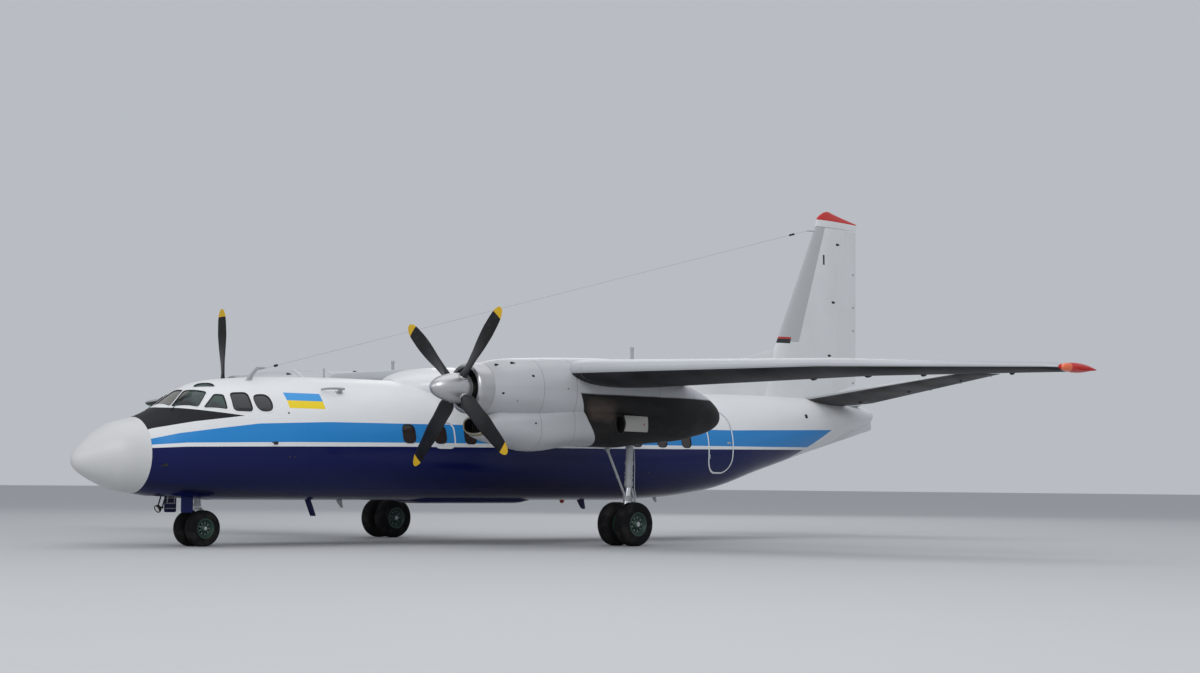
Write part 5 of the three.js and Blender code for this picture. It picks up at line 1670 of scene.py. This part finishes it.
def aerials():
    for name, (look, rows, thick, x) in VANES.items():
        piece(name, vane(rows, thick, x), look, sharp=45)
    piece("crown_whip", rod(place(0, 5.24, 3.38), place(0, 5.02, 3.525), 0.013, 12), "white_paint")
    # A bar aerial along the left of the crown, on one foot
    bar = skin(np.linspace(*BAR_ENDS, len(BAR_RISE)), BAR_DEGREES, BAR_RISE)
    foot = BAR_ENDS[1] - 0.08
    stem = [
        rod(skin(station, BAR_DEGREES, -0.01), skin(station, BAR_DEGREES, 0.1), 0.022, 14)
        for station in (foot - 0.03, foot, foot + 0.03)
    ]
    pad = plug(patch(foot, BAR_DEGREES, 0.16, 0.09), -0.006, 0.008)
    piece("bar_aerial", joined(tube(bar, 0.024, 12), *stem, pad), "gear_paint")
    # The taut wire from the top of the fin to the mast on the crown
    start, end = place(*WIRE_FROM), place(*WIRE_TO)
    piece("aerial_wire", rod(start, end, 0.004, 8), "bare_metal")
    beads = [lathe(start + (end - start) * t, end - start, INSULATOR, 16) for t in (0.03, 0.036, 0.982)]
    piece("aerial_insulators", joined(*beads), "rubber")
    piece("wire_post", rod(place(0, 21.3, 7.78), start, 0.014, 12), "gear_paint")


def patch(station, degrees, long, wide):
    """A rounded rectangle about a place on the skin, in metres along and around it."""
    turn = math.degrees(wide / 2 / float(HALF_2(station)) ** 0.5)
    flat = rounded([(-long / 2, -turn), (long / 2, -turn), (long / 2, turn), (-long / 2, turn)], 0.02, 4)
    return flat + (station, degrees)


def flank_patch(station, z, long, wide, high):
    return plug(patch(station, float(degrees_at(station, z)), long, wide), -0.004, high)


def flank_fittings():
    """Probes, ports, vents and wipers on the fuselage."""
    probes = []
    for station, z in PROBES:
        degrees = float(degrees_at(station, z))
        foot = skin(station, degrees)
        out = skin_normal(station, math.radians(degrees))
        elbow = foot + out * 0.075
        probes.append(rod(foot - out * 0.01, elbow, 0.01, 12))
        probes.append(rod(elbow + (0, 0.02, 0), elbow - (0, 0.13, 0), 0.0085, 14))
        probes.append(flank_patch(station, z, 0.09, 0.055, 0.004))
    ports = [flank_patch(station, z, 0.036, 0.036, 0.002) for station, z in PORTS]
    vent = flank_patch(*TAIL_VENT, 0.11, 0.11, 0.003)
    # A spindle below the windscreen, an arm and its blade
    wiper = [
        rod(skin(1.86, 62.0, -0.01), skin(1.86, 62.0, 0.025), 0.016, 16),
        rod(skin(1.86, 62.0, 0.012), skin(2.17, 70.0, 0.018), 0.006, 10),
        rod(skin(2.01, 71.5, 0.01), skin(2.3, 66.0, 0.01), 0.008, 10),
    ]
    for side in SIDES:
        piece("pitot_probes_*", joined(*probes), "dark_metal", side=side)
        piece("static_ports_*", joined(*ports), "dark_metal", side=side)
        piece("tail_vent_*", vent, "rubber", slot="black_paint", side=side)
        piece("wiper_*", joined(*wiper), "rubber", side=side)


def door_fittings():
    """A handle in its recess and two hinges for each door."""
    for name, _, side, front, rear, sill, head, _ in DOORS:
        z = sill + (head - sill) * 0.48
        slides = name == "passenger_door"
        station = front + (rear - front) * (0.86 if slides else 0.12)
        spot = skin(station, float(degrees_at(station, z)), 0.012)
        grip = rod(spot - (0, 0.045, 0), spot + (0, 0.045, 0), 0.009, 14)
        shape = joined(plug(box_outline(station, z, 0.13, 0.045, 0.02), -0.004, 0.004), grip)
        piece(name + "_handle", for_side(shape, side), "bare_metal")
        at = front - 0.012 if slides else rear + 0.012
        hinges = []
        for share in (0.24, 0.76):
            height = sill + (head - sill) * share
            low, high = (skin(at, float(degrees_at(at, height + dz)), 0.004) for dz in (-0.05, 0.05))
            hinges.append(rod(low, high, 0.01, 12))
        piece(name + "_hinges", for_side(joined(*hinges), side), "gear_paint")


def lamps():
    """Beacons, tip lamps and the tail lamp."""
    piece("beacons", joined(bead(9.9, 3.715, 1), bead(12.45, 0.905, -1)), "red_lamp_glass", sharp=45)
    pod = teardrop(14.5, 11.16, 3.345, 1.02, 0.098, 0.088)
    lens = loft([
        [place(a, station, b) for a, b in oval((14.5, 3.345), (0.09 * wide, 0.082 * wide), sides=24)]
        for station, wide in TIP_LENS
    ])
    for side, look in (("left", "lit_lamp_glass"), ("right", "green_lamp_glass")):
        piece("tip_pod_*", pod, "red_paint", sharp=50, side=side)
        piece("tip_lamp_*", lens, look, side=side)
    piece("tail_lamp", lathe(place(0, 23.45, 3.105), AFT, TAIL_LAMP, 28), "lamp_glass")


def wing_fittings():
    """Hinge brackets, static wicks and filler caps."""
    caps = []
    for span, share in FILLER_PLACES:
        station, middle, half = depth_at(WING_ROWS, span, share)
        caps.append(lathe(place(span, station, middle + half - 0.006), (0, 0, 1), FILLER_CAP, 32))
    for side in SIDES:
        for name, rows, share, places in BRACKETS:
            pods = []
            for span, length in places:
                station, middle, half = depth_at(rows, span, share)
                at = station - length / 2 - 0.035
                pods.append(teardrop(span, at, middle - half - 0.01, length, 0.022, 0.034))
            piece(name + "_brackets_*", joined(*pods), "dark_metal", sharp=50, side=side)
        for name, rows, length, spans in WICKS:
            lines = []
            for span in spans:
                _, trail, _, lift, _ = row_at(rows, span)
                foot, tip = (place(span, trail + out, lift) for out in (-0.03, length))
                lines.append(rod(foot, tip, 0.0045, 8))
            piece(name + "_wicks_*", joined(*lines), "rubber", body=name + "_*", side=side)
        piece("filler_caps_*", joined(*caps), "bare_metal", side=side)


def fin_fittings():
    """Hinge covers beside the rudder's gap and fittings of its tab."""
    covers = []
    for z in (4.6, 5.98, 7.49):
        station = float(np.interp(z, *zip(RUDDER_FOOT, RUDDER_HEAD)))
        reach = float(fin_hinge(z, station)[3]) + 0.006
        covers += [teardrop(side * reach, station - 0.14, z, 0.17, 0.016, 0.035) for side in (1, -1)]
    tabs = [vane([(z - 0.02, 22.66, 22.8), (z + 0.02, 22.66, 22.8)], 0.05) for z in (3.94, 5.3, 5.9, 6.76)]
    piece("fin_hinge_covers", joined(*covers), "dark_metal", sharp=50)
    piece("rudder_tab_fittings", joined(*tabs), "gear_paint", body="rudder", sharp=50)


# ---- Studio ----

# Columns: name, place, aim, size, watts
LIGHTS = [
    ("key", (30, -26, 26), (3, -2, 2), 16, 4300),
    ("fill", (12, -56, 24), (0, -6, 2), 26, 3800),
    ("top", (0, 4, 34), (0, 0, 2), 34, 2700),
    ("rear", (-26, 30, 20), (0, 2, 3), 20, 1700),
]
CAMERA = {
    "place": (35.431, -32.384, 1.263), "lens": 64.24,
    "right": (0.69514, 0.71883, 0.00811), "up": (0.04387, -0.05368, 0.9976),
}


def stage():
    floor = piece("floor", block((-400, -400, -0.2), (400, 400, 0.0)), "floor", slot="")
    bpy.context.scene.view_settings.view_transform = "Standard"
    world = bpy.data.worlds.new("studio")
    bpy.context.scene.world = world
    world.use_nodes = True
    sky = world.node_tree.nodes["Background"].inputs
    sky["Color"].default_value = (0.78, 0.82, 0.88, 1)
    sky["Strength"].default_value = 0.62
    for name, spot, aim, size, watts in LIGHTS:
        light = bpy.data.lights.new(name, "AREA")
        light.size, light.energy = size, watts
        lamp = bpy.data.objects.new(name, light)
        lamp.location = spot
        lamp.rotation_euler = (Vector(aim) - Vector(spot)).to_track_quat("-Z", "Y").to_euler()
        bpy.context.scene.collection.objects.link(lamp)


def camera():
    data = bpy.data.cameras.new("camera")
    data.lens, data.sensor_width, data.clip_end = CAMERA["lens"], 36.0, 1500
    obj = bpy.data.objects.new("camera", data)
    right, up = Vector(CAMERA["right"]), Vector(CAMERA["up"])
    turn = Matrix((right, up, right.cross(up))).transposed()
    obj.matrix_world = Matrix.Translation(CAMERA["place"]) @ turn.to_4x4()
    bpy.context.scene.collection.objects.link(obj)
    bpy.context.scene.camera = obj


camera()
stage()
fuselage_panels()
doors()
wing()
fin_and_rudder()
tailplanes()
dorsal_and_ventral_fins()
fairings()
nacelles()
landing_gear()
aerials()
flank_fittings()
door_fittings()
lamps()
wing_fittings()
fin_fittings()
